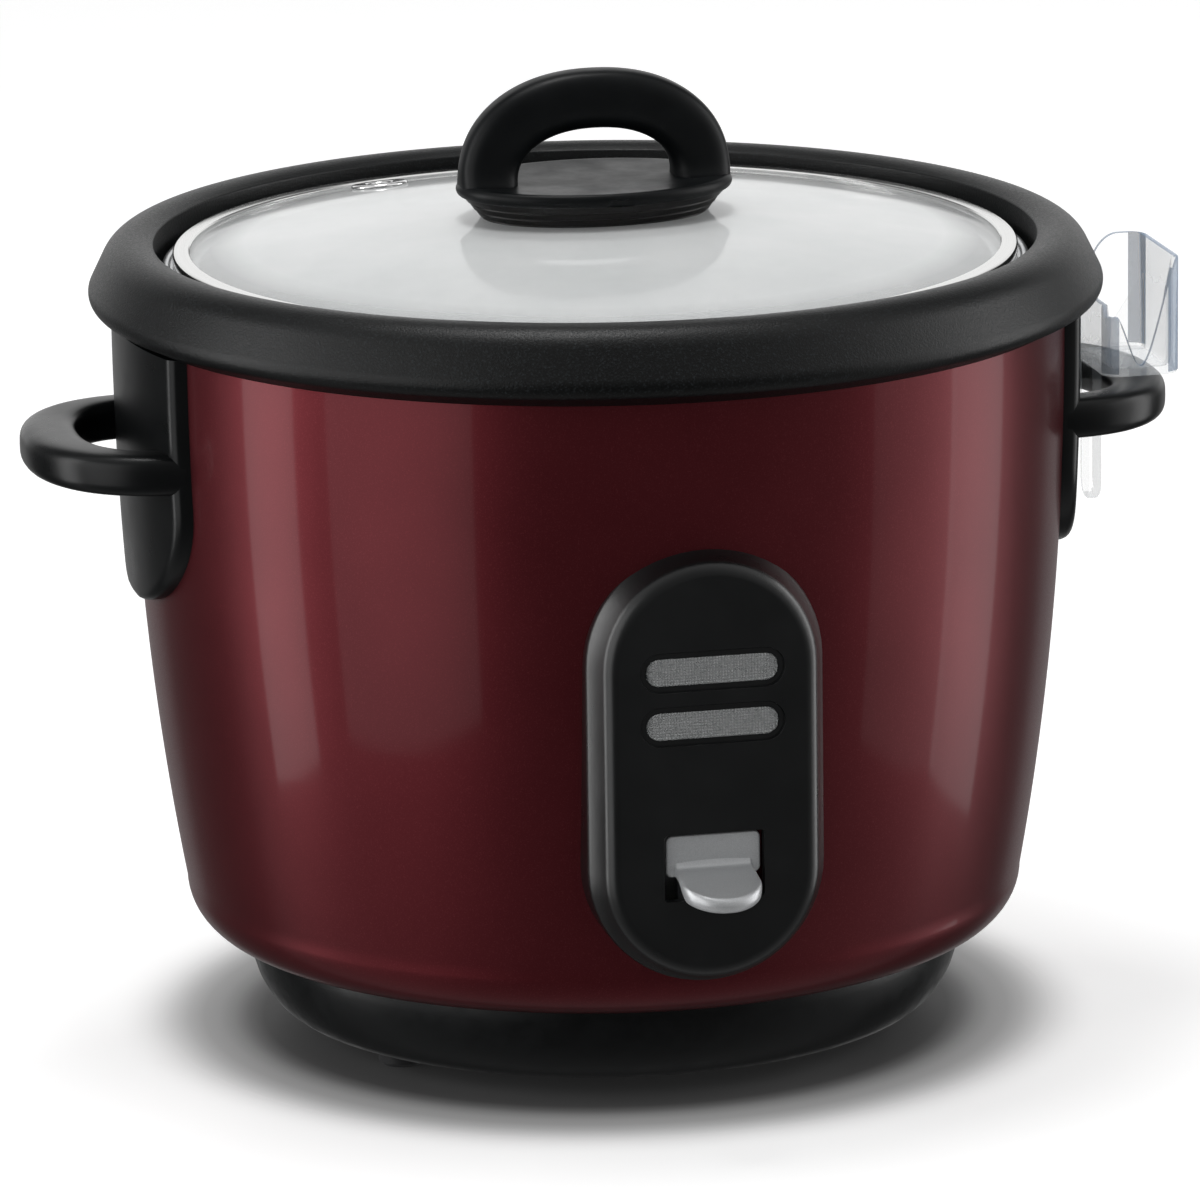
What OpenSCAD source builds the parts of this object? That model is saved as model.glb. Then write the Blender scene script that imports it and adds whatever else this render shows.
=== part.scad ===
// Rice cooker with a lift-out pot, glass lid, cook lever and clip-on spoon holder.
// Millimetres. The origin is on the cooker's axis at counter level, +Z up, front at -Y.

/* [Base] */
// Height of the rubber feet under the base
foot_h = 5; // [4:0.5:8]
// Radius of one foot
foot_r = 6; // [5:0.5:7]
// Radius of the plug that holds a foot in the base floor
foot_plug_r = 2.9; // [2:0.1:3.5]
// Distance of each foot from the middle, sideways
foot_x = 62; // [54:1:64]
// Distance of each foot from the middle, front to back
foot_y = 36; // [30:1:40]
// Height of the base from its floor to the shell
base_h = 22; // [20:1:30]
// Thickness of the base wall and floor
base_wall = 2.5; // [2:0.25:3.5]
// How far the base stands in from the shell's bottom edge
base_inset = 3; // [2:0.5:6]
// How far the base wall draws in from top to floor
base_draw = 12.5; // [9:0.5:14]
// Radius of the screw posts inside the base
base_post_r = 4.5; // [4:0.25:6]
// Distance of the base screws from the axis
base_screw_circle = 76; // [74:1:79]
// Length of one cooling slot in the base floor
vent_length = 26; // [16:1:30]
// Width of one cooling slot in the base floor
vent_w = 3; // [2:0.5:4]

/* [Outer shell] */
// Outer radius of the steel shell at its top
shell_top_r = 121; // [116:1:130]
// How much the shell narrows from its top to its knee
shell_taper = 12; // [9:0.5:13]
// Radial size of the rounded bottom corner
shell_corner_w = 12.5; // [10:0.5:15]
// Height of the rounded bottom corner
shell_corner_h = 13; // [10:0.5:15]
// Height of the shell from its bottom edge to the top ring
shell_h = 162; // [150:2:190]
// Power of the curve that the side wall follows
shell_curve = 2.2; // [1.6:0.1:2.8]
// Thickness of the shell's sheet
shell_wall = 1; // [0.6:0.1:1.2]
// Width of the ring-shaped floor that is turned in at the shell's bottom
shell_floor_w = 26.5; // [24:0.5:30]
// How far the shell's top edge stands up into the top ring
shell_tongue = 5; // [3:0.5:6]

/* [Top ring] */
// How far the ring's nose stands out past the shell
ring_overhang = 9.7; // [7:0.1:13]
// Height of the nose centre above the shell's visible top
ring_nose_rise = 6.2; // [5:0.2:9]
// Radius that rounds the nose
ring_nose_round = 4; // [3:0.25:5]
// Height of the whole ring above the shell's visible top
ring_rise = 19.8; // [18:0.2:24]
// Radius that rounds the ring's crest
ring_crest_round = 8.8; // [7:0.2:10]
// Radial width from the shell's face in to the middle of the crest
ring_crest_inset = 2; // [1:0.1:3]
// Radial width from the shell's face in to the ring's inner wall
ring_mouth_inset = 7.3; // [7:0.1:9]
// Height of the ledge that carries the liner, above the shell's visible top
ring_ledge_rise = 8.5; // [7:0.5:11]
// Thickness of the ledge and of the ring's skirt
ring_wall = 2.6; // [2:0.2:3.4]
// Depth of the skirt that goes down inside the shell
ring_skirt = 6; // [4:0.5:10]

/* [Liner] */
// Gap between the shell's top and the liner
liner_gap = 12.7; // [11:0.1:15]
// Thickness of the liner's sheet
liner_wall = 0.8; // [0.6:0.1:1.2]
// Width of the flange that hangs on the top ring
liner_flange = 4.5; // [3:0.5:6]
// Radius of the middle opening in the liner's floor
liner_hole_r = 24; // [23:0.5:28]
// Size of the bevel between the liner's side and floor
liner_bevel = 8.3; // [6:0.1:10]
// Height of the posts between the shell's floor and the liner
post_h = 16; // [15:0.5:20]
// Radius of those posts
post_r = 4.5; // [4:0.25:6]
// Distance of the posts from the axis
post_circle = 76; // [74:1:78]

/* [Heating plate] */
// Radius of the heating plate
plate_r = 88; // [82:1:92]
// Thickness of the heating plate
plate_t = 9.8; // [9:0.2:14]
// Gap between the liner's floor and the plate
plate_gap = 4.7; // [4.6:0.1:7]
// Radius that rounds the plate's upper edge
plate_round = 5; // [3:0.5:6]
// Radius of the hole for the temperature sensor
plate_hole_r = 16.5; // [16.2:0.1:18]
// Radius of the ring that the heating tube follows
element_circle = 60; // [50:1:66]
// Radius of the heating tube
element_r = 4; // [3:0.25:4.25]
// Angle left open between the ends of the heating tube
element_opening = 40; // [30:2:60]
// Length of the cold pins at the tube's ends
element_pin = 9; // [8:0.5:10]

/* [Temperature sensor] */
// Radius of the sensor's top disc
sensor_r = 15.4; // [14.8:0.1:15.8]
// Thickness of the sensor's top disc
sensor_t = 1.5; // [1:0.1:2]
// Outer radius of the sensor's sleeve
sleeve_r = 12; // [11.5:0.1:12.4]
// Wall of the sensor's sleeve
sleeve_wall = 1.4; // [1:0.1:1.8]
// Length of the sleeve
sleeve_h = 7.8; // [6:0.2:8]
// Thickness of the ferrite disc under the sensor's top
ferrite_t = 2.5; // [1.5:0.1:2.5]
// Downward travel of the sensor on its spring
sensor_travel = 2; // [1:0.25:2]
// Radius of the spring's coil
spring_r = 13.6; // [13.4:0.1:13.8]
// Radius of the spring's wire
spring_wire_r = 0.55; // [0.4:0.05:0.6]
// Turns in the spring
spring_turns = 5; // [4:1:6]
// Inner radius of the cup that holds the spring
cup_r = 16; // [15.5:0.1:16]
// Wall of the cup
cup_wall = 1.2; // [1:0.1:1.4]
// Depth of the cup below the plate
cup_h = 5.5; // [5:0.1:6]
// Radius of the magnet on the plunger
magnet_r = 9; // [7:0.25:9.5]
// Thickness of the magnet
magnet_t = 3; // [2:0.25:3.5]
// Radius of the plunger's rod
rod_r = 2.5; // [2:0.1:3]
// Radius of the collar that the lever lifts
collar_r = 6; // [5:0.25:7]

/* [Pot] */
// Gap between the pot and the liner all round
pot_gap = 3; // [2.5:0.1:5]
// Thickness of the pot's wall
pot_wall = 1.5; // [1:0.1:2.5]
// How much the pot narrows towards its floor
pot_draw = 3; // [1:0.5:5]
// Radius of the pot's bottom corner
pot_corner = 20; // [14:1:26]
// Width of the pot's rim outside its wall
pot_rim = 7; // [6:0.1:7.4]
// Radius of the bead rolled on the pot's rim
pot_bead_r = 1.2; // [1:0.1:1.5]
// Height of the pot's rim above the liner's flange
pot_rim_gap = 1.4; // [1:0.1:2]

/* [Lid] */
// Outer radius of the lid's band, in from the pot's bead
lid_band_gap = 0.5; // [0.3:0.1:1.2]
// Width of the band's section
lid_band_w = 4.4; // [4:0.1:6]
// Height of the band's section
lid_band_h = 3.6; // [3.4:0.1:5]
// Thickness of the band's sheet
lid_band_wall = 0.7; // [0.5:0.1:0.8]
// Thickness of the lid's glass at its edge
glass_t = 2; // [1.6:0.1:2]
// Rise of the glass dome from its edge to its middle
glass_rise = 9.1; // [6:0.1:12]
// Distance of the steam vent in from the lid's edge
vent_inset = 17.5; // [15:0.5:30]
// Direction of the steam vent, counted from +X
vent_angle = 116; // [90:1:150]
// Radius of the steam vent's hole
steam_hole_r = 3.2; // [2:0.2:4]
// Radius of the steam vent's rim
steam_rim_r = 7.6; // [6:0.2:9]
// Radius of the lid's middle hole
lid_hole_r = 4; // [3.5:0.1:5]

/* [Knob] */
// Half the knob's length at its base plate
knob_half_x = 36; // [32:0.5:40]
// Half the knob's width at its base plate
knob_half_y = 25.5; // [22:0.5:30]
// Thickness of the knob's base plate
knob_plate_t = 3.5; // [3:0.25:5]
// Height of the seat between the glass and the knob
knob_seat_h = 5.2; // [4:0.1:8]
// Height of the arch above the base plate
knob_arch_h = 28.2; // [24:0.5:34]
// Height of the finger opening under the arch
knob_opening_h = 13; // [11:0.5:16]
// Half the length of the finger opening
knob_opening_x = 20.5; // [18:0.5:24]
// Width of the arch from front to back
knob_arch_w = 12; // [9:0.5:16]
// Radius of the screw that holds the knob
knob_screw_r = 2.4; // [2:0.1:3]

/* [Handles] */
// Half the width of a handle's mounting plate
handle_plate_half = 40; // [36:1:44]
// Height of a handle's mounting plate
handle_plate_h = 69.5; // [60:1:80]
// Height of the rounded lower end of the mounting plate
handle_plate_round = 30; // [24:1:36]
// Thickness of the mounting plate
handle_plate_t = 4; // [3:0.25:6]
// How far the loop stands out from the shell
handle_reach = 29.3; // [26:0.5:36]
// Drop of the loop's middle below the shell's visible top
handle_drop = 30; // [26:1:36]
// Width of the bar at the loop's outer end
handle_bar_end = 15.1; // [12:0.25:16]
// Width of the bar where it leaves the mounting plate
handle_bar_root = 11.5; // [10:0.25:13]
// Height of the bar
handle_bar_h = 10.8; // [9:0.2:13]

/* [Control panel] */
// Half the width of the panel's face
panel_half = 26; // [24:0.5:29]
// How much wider the panel is at the shell than at its face
panel_flare = 4.2; // [2:0.2:6]
// How far the panel's face stands out past the shell's top
panel_stand = 6; // [5:0.5:9]
// Distance behind its face at which the panel starts to narrow
panel_shoulder = 9; // [8:0.5:11]
// Height of the lower end's centre above the shell's bottom edge
panel_low = 43.5; // [41:0.5:46]
// Height of the upper end's centre above the shell's bottom edge
panel_high = 97; // [93:1:108]
// Wall of the panel
panel_wall = 2.5; // [2:0.25:3]
// Radius that rounds the face's edge
panel_round = 3.5; // [2:0.25:4]
// Height of the keep-warm window above the shell's bottom edge
warm_rise = 95.2; // [93:0.2:99]
// Height of the cook window above the shell's bottom edge
cook_rise = 81.5; // [77:0.5:82]
// Width of a lamp window
window_w = 33.4; // [28:0.2:36]
// Height of a lamp window
window_h = 6.8; // [5:0.2:8]
// Width of the shallow recess round a window
window_margin = 1.7; // [1:0.1:2]
// Depth of that recess
window_recess = 0.8; // [0.4:0.1:1.2]
// Width of the lever's slot
slot_w = 25.4; // [24.8:0.2:28]
// Bottom of the lever's slot above the shell's bottom edge
slot_low = 36.8; // [35:0.2:37]
// Top of the lever's slot above the shell's bottom edge
slot_high = 53.8; // [53.4:0.2:56]
// Radius of a lamp
lamp_r = 2.2; // [1.8:0.1:2.4]
// Length of a lamp
lamp_l = 20; // [16:1:24]
// Width of the board that holds the lamps
lamp_board_w = 30; // [28:1:34]
// Thickness of that board
lamp_board_t = 1.5; // [1.2:0.1:2]
// Distance from the lamps' axis back to that board
lamp_standoff = 4; // [3.4:0.2:5]

/* [Cook lever] */
// Width of the plate above the lever's paddle
lever_plate_w = 24; // [20:0.5:24.4]
// Top of that plate above the shell's bottom edge
lever_plate_top = 53.2; // [51:0.2:53.2]
// Width of the paddle
paddle_w = 20; // [16:0.5:22]
// Height of the paddle above the shell's bottom edge where it leaves the slot
paddle_rise = 44.8; // [44:0.2:46]
// How far the paddle stands out from the panel
paddle_reach = 16.5; // [12:0.5:20]
// How far the paddle droops at its tip
paddle_droop = 3.4; // [2:0.2:5]
// Thickness of the rounded lip at the paddle's tip
lip_t = 4.2; // [3:0.2:5]
// Thickness of the lever's strip
lever_t = 1.6; // [1.2:0.1:2]
// Width of the lever's long arm
lever_arm_w = 12; // [10:0.5:12.4]
// Distance from the axis to the lever's pivot
pivot_y = 58; // [50:1:64]
// Radius of the pivot pin
pivot_r = 2; // [1.5:0.1:2.5]
// Width of the bracket that carries the pivot under the liner
bracket_w = 32; // [30:1:36]
// Length of that bracket in front of the pivot
bracket_front = 10; // [8:1:12]
// Length of that bracket behind the pivot
bracket_back = 22; // [20:1:24]

/* [Power inlet] */
// Width of the inlet's recess
inlet_w = 24; // [22:0.5:26]
// Height of the inlet's recess
inlet_h = 15; // [14:0.25:15.5]
// Depth of the inlet's recess
inlet_depth = 16; // [14:0.5:18]
// Wall round the recess
inlet_wall = 1.6; // [1.2:0.1:1.8]

/* [Spoon holder] */
// Size of the holder's cup, outwards from the cooker
cup_x = 21; // [18:0.5:24]
// Size of the holder's cup, front to back
cup_y = 38; // [30:1:42]
// Height of the holder's cup
holder_h = 31; // [26:1:36]
// Wall of the holder
holder_wall = 1.8; // [1.4:0.1:2.4]
// Thickness of the stem that hangs in the handle
stem_t = 3.2; // [2.4:0.1:3.4]
// Width of that stem
stem_w = 10; // [6:1:14]
// Length of that stem below the cup
stem_h = 36; // [28:1:44]
// Height of the cup's low side, next to the cooker
holder_low = 19; // [16:1:24]
// Height of the rib inside the cup
rib_h = 20.2; // [14:0.2:24]
// Radius at the bottom of the notch in the cup's front
notch_r = 4.2; // [3:0.2:5]

/* [Fits] */
// Gap between pieces that lift off or move apart
rest_gap = 0.3; // [0.2:0.05:0.5]
// Radial clearance of a running fit
run_fit = 0.05; // [0.02:0.01:0.1]
// Radius of the screws' shanks
screw_r = 1.8; // [1.5:0.1:2]
// Radius of the screws' heads
screw_head_r = 3.4; // [3:0.1:3.6]
// Height of the screws' heads
screw_head_h = 2.2; // [1.6:0.1:2.2]

/* [Hidden] */
$fn = 96;

black = [0.06, 0.065, 0.068];
burgundy = [0.33, 0.12, 0.14];
steel = [0.78, 0.79, 0.80];
aluminium = [0.74, 0.75, 0.76];
brass = [0.80, 0.66, 0.36];
clear_plastic = [0.85, 0.92, 0.97, 0.35];
over = 1;            // how far a cut runs past the face that it opens

// Levels, from the counter upwards
base_z = foot_h;
base_floor_z = base_z + base_wall;
shell_foot_z = base_z + base_h;
shell_floor_z = shell_foot_z + shell_wall;
shell_knee_z = shell_foot_z + shell_corner_h;
shell_top_z = shell_foot_z + shell_h;
panel_low_z = shell_foot_z + panel_low;
panel_high_z = shell_foot_z + panel_high;
warm_z = shell_foot_z + warm_rise;
cook_z = shell_foot_z + cook_rise;
slot_low_z = shell_foot_z + slot_low;
slot_high_z = shell_foot_z + slot_high;
lever_plate_z = shell_foot_z + lever_plate_top;
paddle_z = shell_foot_z + paddle_rise;
ledge_z = shell_top_z + ring_ledge_rise;
ring_crest_z = shell_top_z + ring_rise;
liner_z = shell_floor_z + post_h;
liner_floor_z = liner_z + liner_wall;
plate_z = liner_floor_z + plate_gap;
plate_top_z = plate_z + plate_t;
pot_z = plate_top_z + rest_gap;
pot_rim_z = ledge_z + liner_wall + pot_rim_gap;
lid_band_z = pot_rim_z + pot_wall + rest_gap;
glass_edge_z = lid_band_z + lid_band_h / 2 - glass_t / 2;
glass_top_z = glass_edge_z + glass_rise + glass_t;
knob_z = glass_top_z + knob_seat_h;
knob_deck_z = knob_z + knob_plate_t;

// Radii, from the shell inwards
shell_knee_r = shell_top_r - shell_taper;
shell_foot_r = shell_knee_r - shell_corner_w;
base_top_r = shell_foot_r - base_inset;
base_floor_r = base_top_r - base_draw;
panel_y = shell_top_r + panel_stand;
panel_shoulder_y = panel_y - panel_shoulder;
liner_r = shell_top_r - shell_wall - liner_gap;
liner_bottom_r = liner_r - liner_bevel;
pot_r = liner_r - liner_wall - pot_gap;
band_r = pot_r + pot_rim - pot_bead_r - lid_band_gap;
glass_r = band_r - lid_band_wall;
vent_circle = band_r - vent_inset;

// Outer radius of the shell's side at a height
function side_r(z) = shell_top_r
    - shell_taper * pow(max(0, shell_top_z - z) / (shell_top_z - shell_knee_z), shell_curve);
side_steps = 11;
side_heights = [for (i = [0 : side_steps])
    shell_knee_z + (shell_top_z - shell_knee_z) * pow(i / side_steps, 1.3)];

// Points on an arc round [x, y], both ends included
function arc(x, y, rx, ry, from, to, steps = 8) =
    [for (i = [0 : steps]) let (a = from + (to - from) * i / steps) [x + rx * cos(a), y + ry * sin(a)]];

// Outline of a slot w wide and h high with half-round ends, lying along X
module slot_2d(w, h) {
    square([w - h, h], center = true);
    for (s = [-1, 1]) translate([s * (w - h) / 2, 0]) circle(d = h);
}

// Stands a flat outline up so that it faces the front, from y to the axis side
module facing_front(y, depth) {
    translate([0, y + depth, 0]) rotate([90, 0, 0]) linear_extrude(depth) children();
}

// A body swept from ring to ring of equally many points, closed at both ends
module swept(rings) {
    n = len(rings[0]);
    last = len(rings) - 1;
    polyhedron(
        points = [for (ring = rings) each ring],
        faces = concat(
            [[for (i = [n - 1 : -1 : 0]) i]],
            [for (k = [0 : last - 1], i = [0 : n - 1])
                [k * n + i, k * n + (i + 1) % n, (k + 1) * n + (i + 1) % n, (k + 1) * n + i]],
            [[for (i = [0 : n - 1]) last * n + i]]));
}

// Rounded section: power 2 is an ellipse, more is squarer
function squircle(a, power) = let (c = cos(a), s = sin(a))
    [sign(c) * pow(abs(c), 2 / power), sign(s) * pow(abs(s), 2 / power)];
section_sides = 20;
section_power = 2.5;

// Holes and screws in a ring, one at each angle
module around(angles, circle_r) {
    for (a = angles) rotate(a) translate([circle_r, 0, 0]) children();
}

base_screw_angles = [60, 120, 240, 300];
post_angles = [20, 140, 260];
foot_places = [for (x = [-foot_x, foot_x], y = [-foot_y, foot_y]) [x, y]];

// --- Base -----------------------------------------------------------------

screw_hole_r = screw_r + run_fit;
base_screw_recess = 5;
vent_rows = 4;
vent_pitch = 9;
inlet_body_w = inlet_w + 2 * inlet_wall;
inlet_body_h = inlet_h + 2 * inlet_wall;
inlet_ear = 7;
inlet_bay_w = inlet_body_w + 2 * inlet_ear + 2;
inlet_face_y = base_top_r + 0.5;
inlet_z = base_floor_z + rest_gap + inlet_body_h / 2;
inlet_flange_t = 1.5;
inlet_back_t = 2;
inlet_screw_r = 1.2;
inlet_screw_head_r = 2.2;
inlet_screw_length = 6;
inlet_screw_x = inlet_body_w / 2 + inlet_ear / 2;

// Bowl-shaped outer profile of the base, drawn in by a distance
function base_profile(inset) = concat(
    [[0, base_z + inset], [base_floor_r - inset, base_z + inset]],
    arc(base_floor_r - inset, shell_foot_z, base_draw, base_h - inset, -72, 0, 6));

module base_pan() {
    color(black) difference() {
        union() {
            difference() {
                union() {
                    rotate_extrude() polygon(concat(base_profile(0), [[0, shell_foot_z]]));
                    translate([-inlet_bay_w / 2, 0, base_z])
                        cube([inlet_bay_w, inlet_face_y, base_h]);
                }
                rotate_extrude() polygon(concat(base_profile(base_wall),
                    [[base_top_r - base_wall, shell_foot_z + over], [0, shell_foot_z + over]]));
                translate([-inlet_bay_w / 2 + base_wall, 0, base_floor_z])
                    cube([inlet_bay_w - 2 * base_wall, inlet_face_y - base_wall, base_h]);
            }
            around(base_screw_angles, base_screw_circle)
                translate([0, 0, base_z]) cylinder(r = base_post_r, h = base_h);
        }
        around(base_screw_angles, base_screw_circle) {
            translate([0, 0, base_z - over]) cylinder(r = screw_hole_r, h = base_h + 2 * over);
            translate([0, 0, base_z - over])
                cylinder(r = screw_head_r + run_fit, h = base_screw_recess + over);
        }
        for (p = foot_places) translate([p[0], p[1], base_z - over])
            cylinder(r = foot_plug_r, h = base_wall + 2 * over);
        for (row = [0 : vent_rows - 1], s = [-1, 1])
            translate([0, s * (vent_pitch / 2 + row * vent_pitch), base_z - over])
                linear_extrude(base_wall + 2 * over) slot_2d(vent_length, vent_w);
        translate([-inlet_body_w / 2, inlet_face_y - base_wall - over, inlet_z - inlet_body_h / 2])
            cube([inlet_body_w, base_wall + 2 * over, inlet_body_h]);
        for (s = [-1, 1]) translate([s * inlet_screw_x, inlet_face_y + over, inlet_z]) rotate([90, 0, 0])
            cylinder(r = inlet_screw_r, h = base_wall + 2 * over);
    }
}

module feet() {
    color([0.10, 0.10, 0.10]) for (p = foot_places) translate([p[0], p[1], 0]) {
        cylinder(r1 = foot_r - 1, r2 = foot_r, h = 1);
        translate([0, 0, 1]) cylinder(r = foot_r, h = foot_h - 1);
        translate([0, 0, foot_h]) cylinder(r = foot_plug_r, h = base_wall);
    }
}

// A pan-head screw with its head down at z = 0 and its shank pointing up
module screw_up(length, r = screw_r) {
    difference() {
        cylinder(r = screw_head_r, h = screw_head_h);
        for (a = [0, 90]) rotate(a) translate([-screw_head_r / 2, -0.4, -over])
            cube([screw_head_r, 0.8, over + screw_head_h / 2]);
    }
    translate([0, 0, screw_head_h]) cylinder(r = r, h = length);
}

screw_grip = 3;      // how far a screw reaches past what it holds

module base_screws() {
    color(steel) around(base_screw_angles, base_screw_circle)
        translate([0, 0, base_z + base_screw_recess - screw_head_h])
            screw_up(base_h - base_screw_recess + shell_wall + screw_grip);
}

// --- Outer shell ------------------------------------------------------------

// Profile of the shell's outside, from its bottom edge up to its top
function shell_profile(inset) = concat(
    arc(shell_foot_r, shell_knee_z, shell_corner_w - inset, shell_corner_h - inset, -90, -9, 9),
    [for (z = side_heights) [side_r(z) - inset, z]]);

// Everything inside the shell's outer face, up to a height, for trimming what stands on it
module shell_core(top) {
    rotate_extrude() polygon(concat(
        [[0, shell_foot_z]], shell_profile(0), [[shell_top_r, top], [0, top]]));
}

shell_slot_half = slot_w / 2 + 1;
shell_slot_low = liner_z;
shell_slot_high = slot_high_z + 4;
lamp_opening_half = 20;
lamp_opening_low = cook_z - 12;
lamp_opening_high = warm_z + 11;
handle_screw_y = handle_plate_half - handle_bar_root / 2 - 2;
handle_z = shell_top_z - handle_drop;
panel_screw_places = [[0, panel_high_z + panel_half - 7], [-19, panel_low_z - 10], [19, panel_low_z - 10]];

cut_depth = shell_taper + shell_corner_w;

module outer_shell() {
    color(burgundy) difference() {
        rotate_extrude() polygon(concat(
            [[shell_foot_r - shell_floor_w, shell_foot_z]],
            shell_profile(0),
            [[shell_top_r, shell_top_z + shell_tongue],
             [shell_top_r - shell_wall, shell_top_z + shell_tongue]],
            [for (i = [len(shell_profile(0)) - 1 : -1 : 0]) shell_profile(shell_wall)[i]],
            [[shell_foot_r - shell_floor_w, shell_floor_z]]));
        // ways for the lever's strip and the lamps, hidden behind the panel
        facing_front(-shell_top_r - over, cut_depth) translate([-shell_slot_half, shell_slot_low])
            square([2 * shell_slot_half, shell_slot_high - shell_slot_low]);
        facing_front(-shell_top_r - over, cut_depth) translate([-lamp_opening_half, lamp_opening_low])
            square([2 * lamp_opening_half, lamp_opening_high - lamp_opening_low]);
        for (p = panel_screw_places) facing_front(-shell_top_r - over, cut_depth)
            translate(p) circle(r = screw_hole_r);
        for (side = [-1, 1], s = [-1, 1]) translate([0, s * handle_screw_y, handle_z])
            rotate([0, side * 90, 0]) translate([0, 0, liner_r])
                cylinder(r = screw_hole_r, h = liner_gap + 2 * handle_plate_t);
        around(base_screw_angles, base_screw_circle)
            translate([0, 0, shell_foot_z - over]) cylinder(r = screw_hole_r, h = shell_wall + 2 * over);
        around(post_angles, post_circle)
            translate([0, 0, shell_foot_z - over]) cylinder(r = screw_hole_r, h = shell_wall + 2 * over);
    }
}

// --- Top ring ---------------------------------------------------------------

crest_r = shell_top_r - ring_crest_inset;
mouth_r = shell_top_r - ring_mouth_inset;
mouth_angle = acos((mouth_r - crest_r) / ring_crest_round);
crest_centre_z = ring_crest_z - ring_crest_round;
nose_r = shell_top_r + ring_overhang - ring_nose_round;
nose_z = shell_top_z + ring_nose_rise;
// Direction in which the straight slope from the crest to the nose faces
slope_run = nose_r - crest_r;
slope_fall = crest_centre_z - nose_z;
slope_angle = atan2(-slope_fall, slope_run)
    + acos((ring_crest_round - ring_nose_round) / norm([slope_run, slope_fall]));
ledge_hole_r = liner_r;
nose_low_angle = -65;

module top_ring() {
    skirt_r = shell_top_r - shell_wall - 0.1;
    color(black) rotate_extrude($fn = 144) polygon(concat(
        arc(crest_r, crest_centre_z, ring_crest_round, ring_crest_round, mouth_angle, slope_angle, 9),
        arc(nose_r, nose_z, ring_nose_round, ring_nose_round, slope_angle, nose_low_angle, 8),
        [[shell_top_r + ring_wall, shell_top_z],
         [shell_top_r, shell_top_z],
         [shell_top_r, shell_top_z + shell_tongue],
         [skirt_r, shell_top_z + shell_tongue],
         [skirt_r, shell_top_z - ring_skirt],
         [skirt_r - ring_wall, shell_top_z - ring_skirt],
         [skirt_r - ring_wall, ledge_z - ring_wall],
         [ledge_hole_r, ledge_z - ring_wall],
         [ledge_hole_r, ledge_z],
         [mouth_r, ledge_z]]));
}

// --- Liner ------------------------------------------------------------------

element_pin_angles = [90 - element_opening / 2, 90 + element_opening / 2];
element_pin_r = 1.6;
pin_hole_r = 3.2;

module inner_liner() {
    color(aluminium) difference() {
        rotate_extrude() polygon([
            [liner_hole_r, liner_z],
            [liner_bottom_r, liner_z],
            [liner_r, liner_z + liner_bevel + 2],
            [liner_r, ledge_z],
            [liner_r + liner_flange, ledge_z],
            [liner_r + liner_flange, ledge_z + liner_wall],
            [liner_r - liner_wall, ledge_z + liner_wall],
            [liner_r - liner_wall, liner_z + liner_bevel + 2.4],
            [liner_bottom_r - liner_wall / 2, liner_floor_z],
            [liner_hole_r, liner_floor_z]]);
        around(post_angles, post_circle)
            translate([0, 0, liner_z - over]) cylinder(r = screw_hole_r, h = liner_wall + 2 * over);
        around(element_pin_angles, element_circle)
            translate([0, 0, liner_z - over]) cylinder(r = pin_hole_r, h = liner_wall + 2 * over);
    }
}

// --- Side handles -----------------------------------------------------------

handle_plate_low = shell_top_z - handle_plate_h;
loop_centre_x = shell_top_r - 6;
loop_out = shell_top_r + handle_reach - loop_centre_x;
loop_in = loop_out - handle_bar_end;
loop_half_out = handle_plate_half;
loop_half_in = handle_plate_half - handle_bar_root;
loop_steps = 36;

// Point on the bar's section at a place along the loop, 0 at the rear root and 1 at the front root
function loop_point(t, a) = let (
    u = 90 - 180 * t,
    inner = [loop_centre_x + loop_in * cos(u), loop_half_in * sin(u)],
    outer = [loop_centre_x + loop_out * cos(u), loop_half_out * sin(u)],
    p = squircle(a, section_power),
    plan = (inner + outer) / 2 + (outer - inner) / 2 * p[0])
    [plan[0], plan[1], handle_z + handle_bar_h / 2 * p[1]];

// The mounting plate's outline, seen from the side
module handle_outline() {
    polygon(concat(
        arc(0, handle_plate_low + handle_plate_round, handle_plate_half, handle_plate_round, 180, 360, 20),
        [[handle_plate_half, shell_top_z], [-handle_plate_half, shell_top_z]]));
}

module handle() {
    plate_heights = [for (z = side_heights) if (z > handle_plate_low - 16) z];
    color(black) difference() {
        union() {
            intersection() {
                rotate_extrude() polygon(concat(
                    [for (z = plate_heights) [side_r(z) - shell_wall, z]],
                    [for (i = [len(plate_heights) - 1 : -1 : 0])
                        [side_r(plate_heights[i]) + handle_plate_t, plate_heights[i]]]));
                rotate([90, 0, 90]) linear_extrude(2 * shell_top_r) handle_outline();
            }
            swept([for (k = [0 : loop_steps])
                [for (i = [0 : section_sides - 1]) loop_point(k / loop_steps, -360 * i / section_sides)]]);
        }
        shell_core(shell_top_z);
        for (s = [-1, 1]) translate([0, s * handle_screw_y, handle_z])
            rotate([0, 90, 0]) cylinder(r = screw_hole_r, h = handle_screw_tip);
    }
}
handle_screw_seat = sqrt(
    pow(side_r(handle_z - screw_head_r) - shell_wall, 2) - pow(handle_screw_y + screw_head_r, 2));
handle_screw_length = 8;
handle_screw_tip = handle_screw_seat + handle_screw_length + 0.2;

module right_handle() { handle(); }
module left_handle() { mirror([1, 0, 0]) handle(); }

module handle_screws() {
    color(steel) for (side = [-1, 1], s = [-1, 1])
        translate([0, s * handle_screw_y, handle_z]) rotate([0, side * 90, 0])
            translate([0, 0, handle_screw_seat - screw_head_h]) screw_up(handle_screw_length);
}

// --- Control panel ----------------------------------------------------------

panel_root_y = shell_top_r - shell_taper - shell_corner_w;
face_back_y = panel_y - panel_wall;

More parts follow.
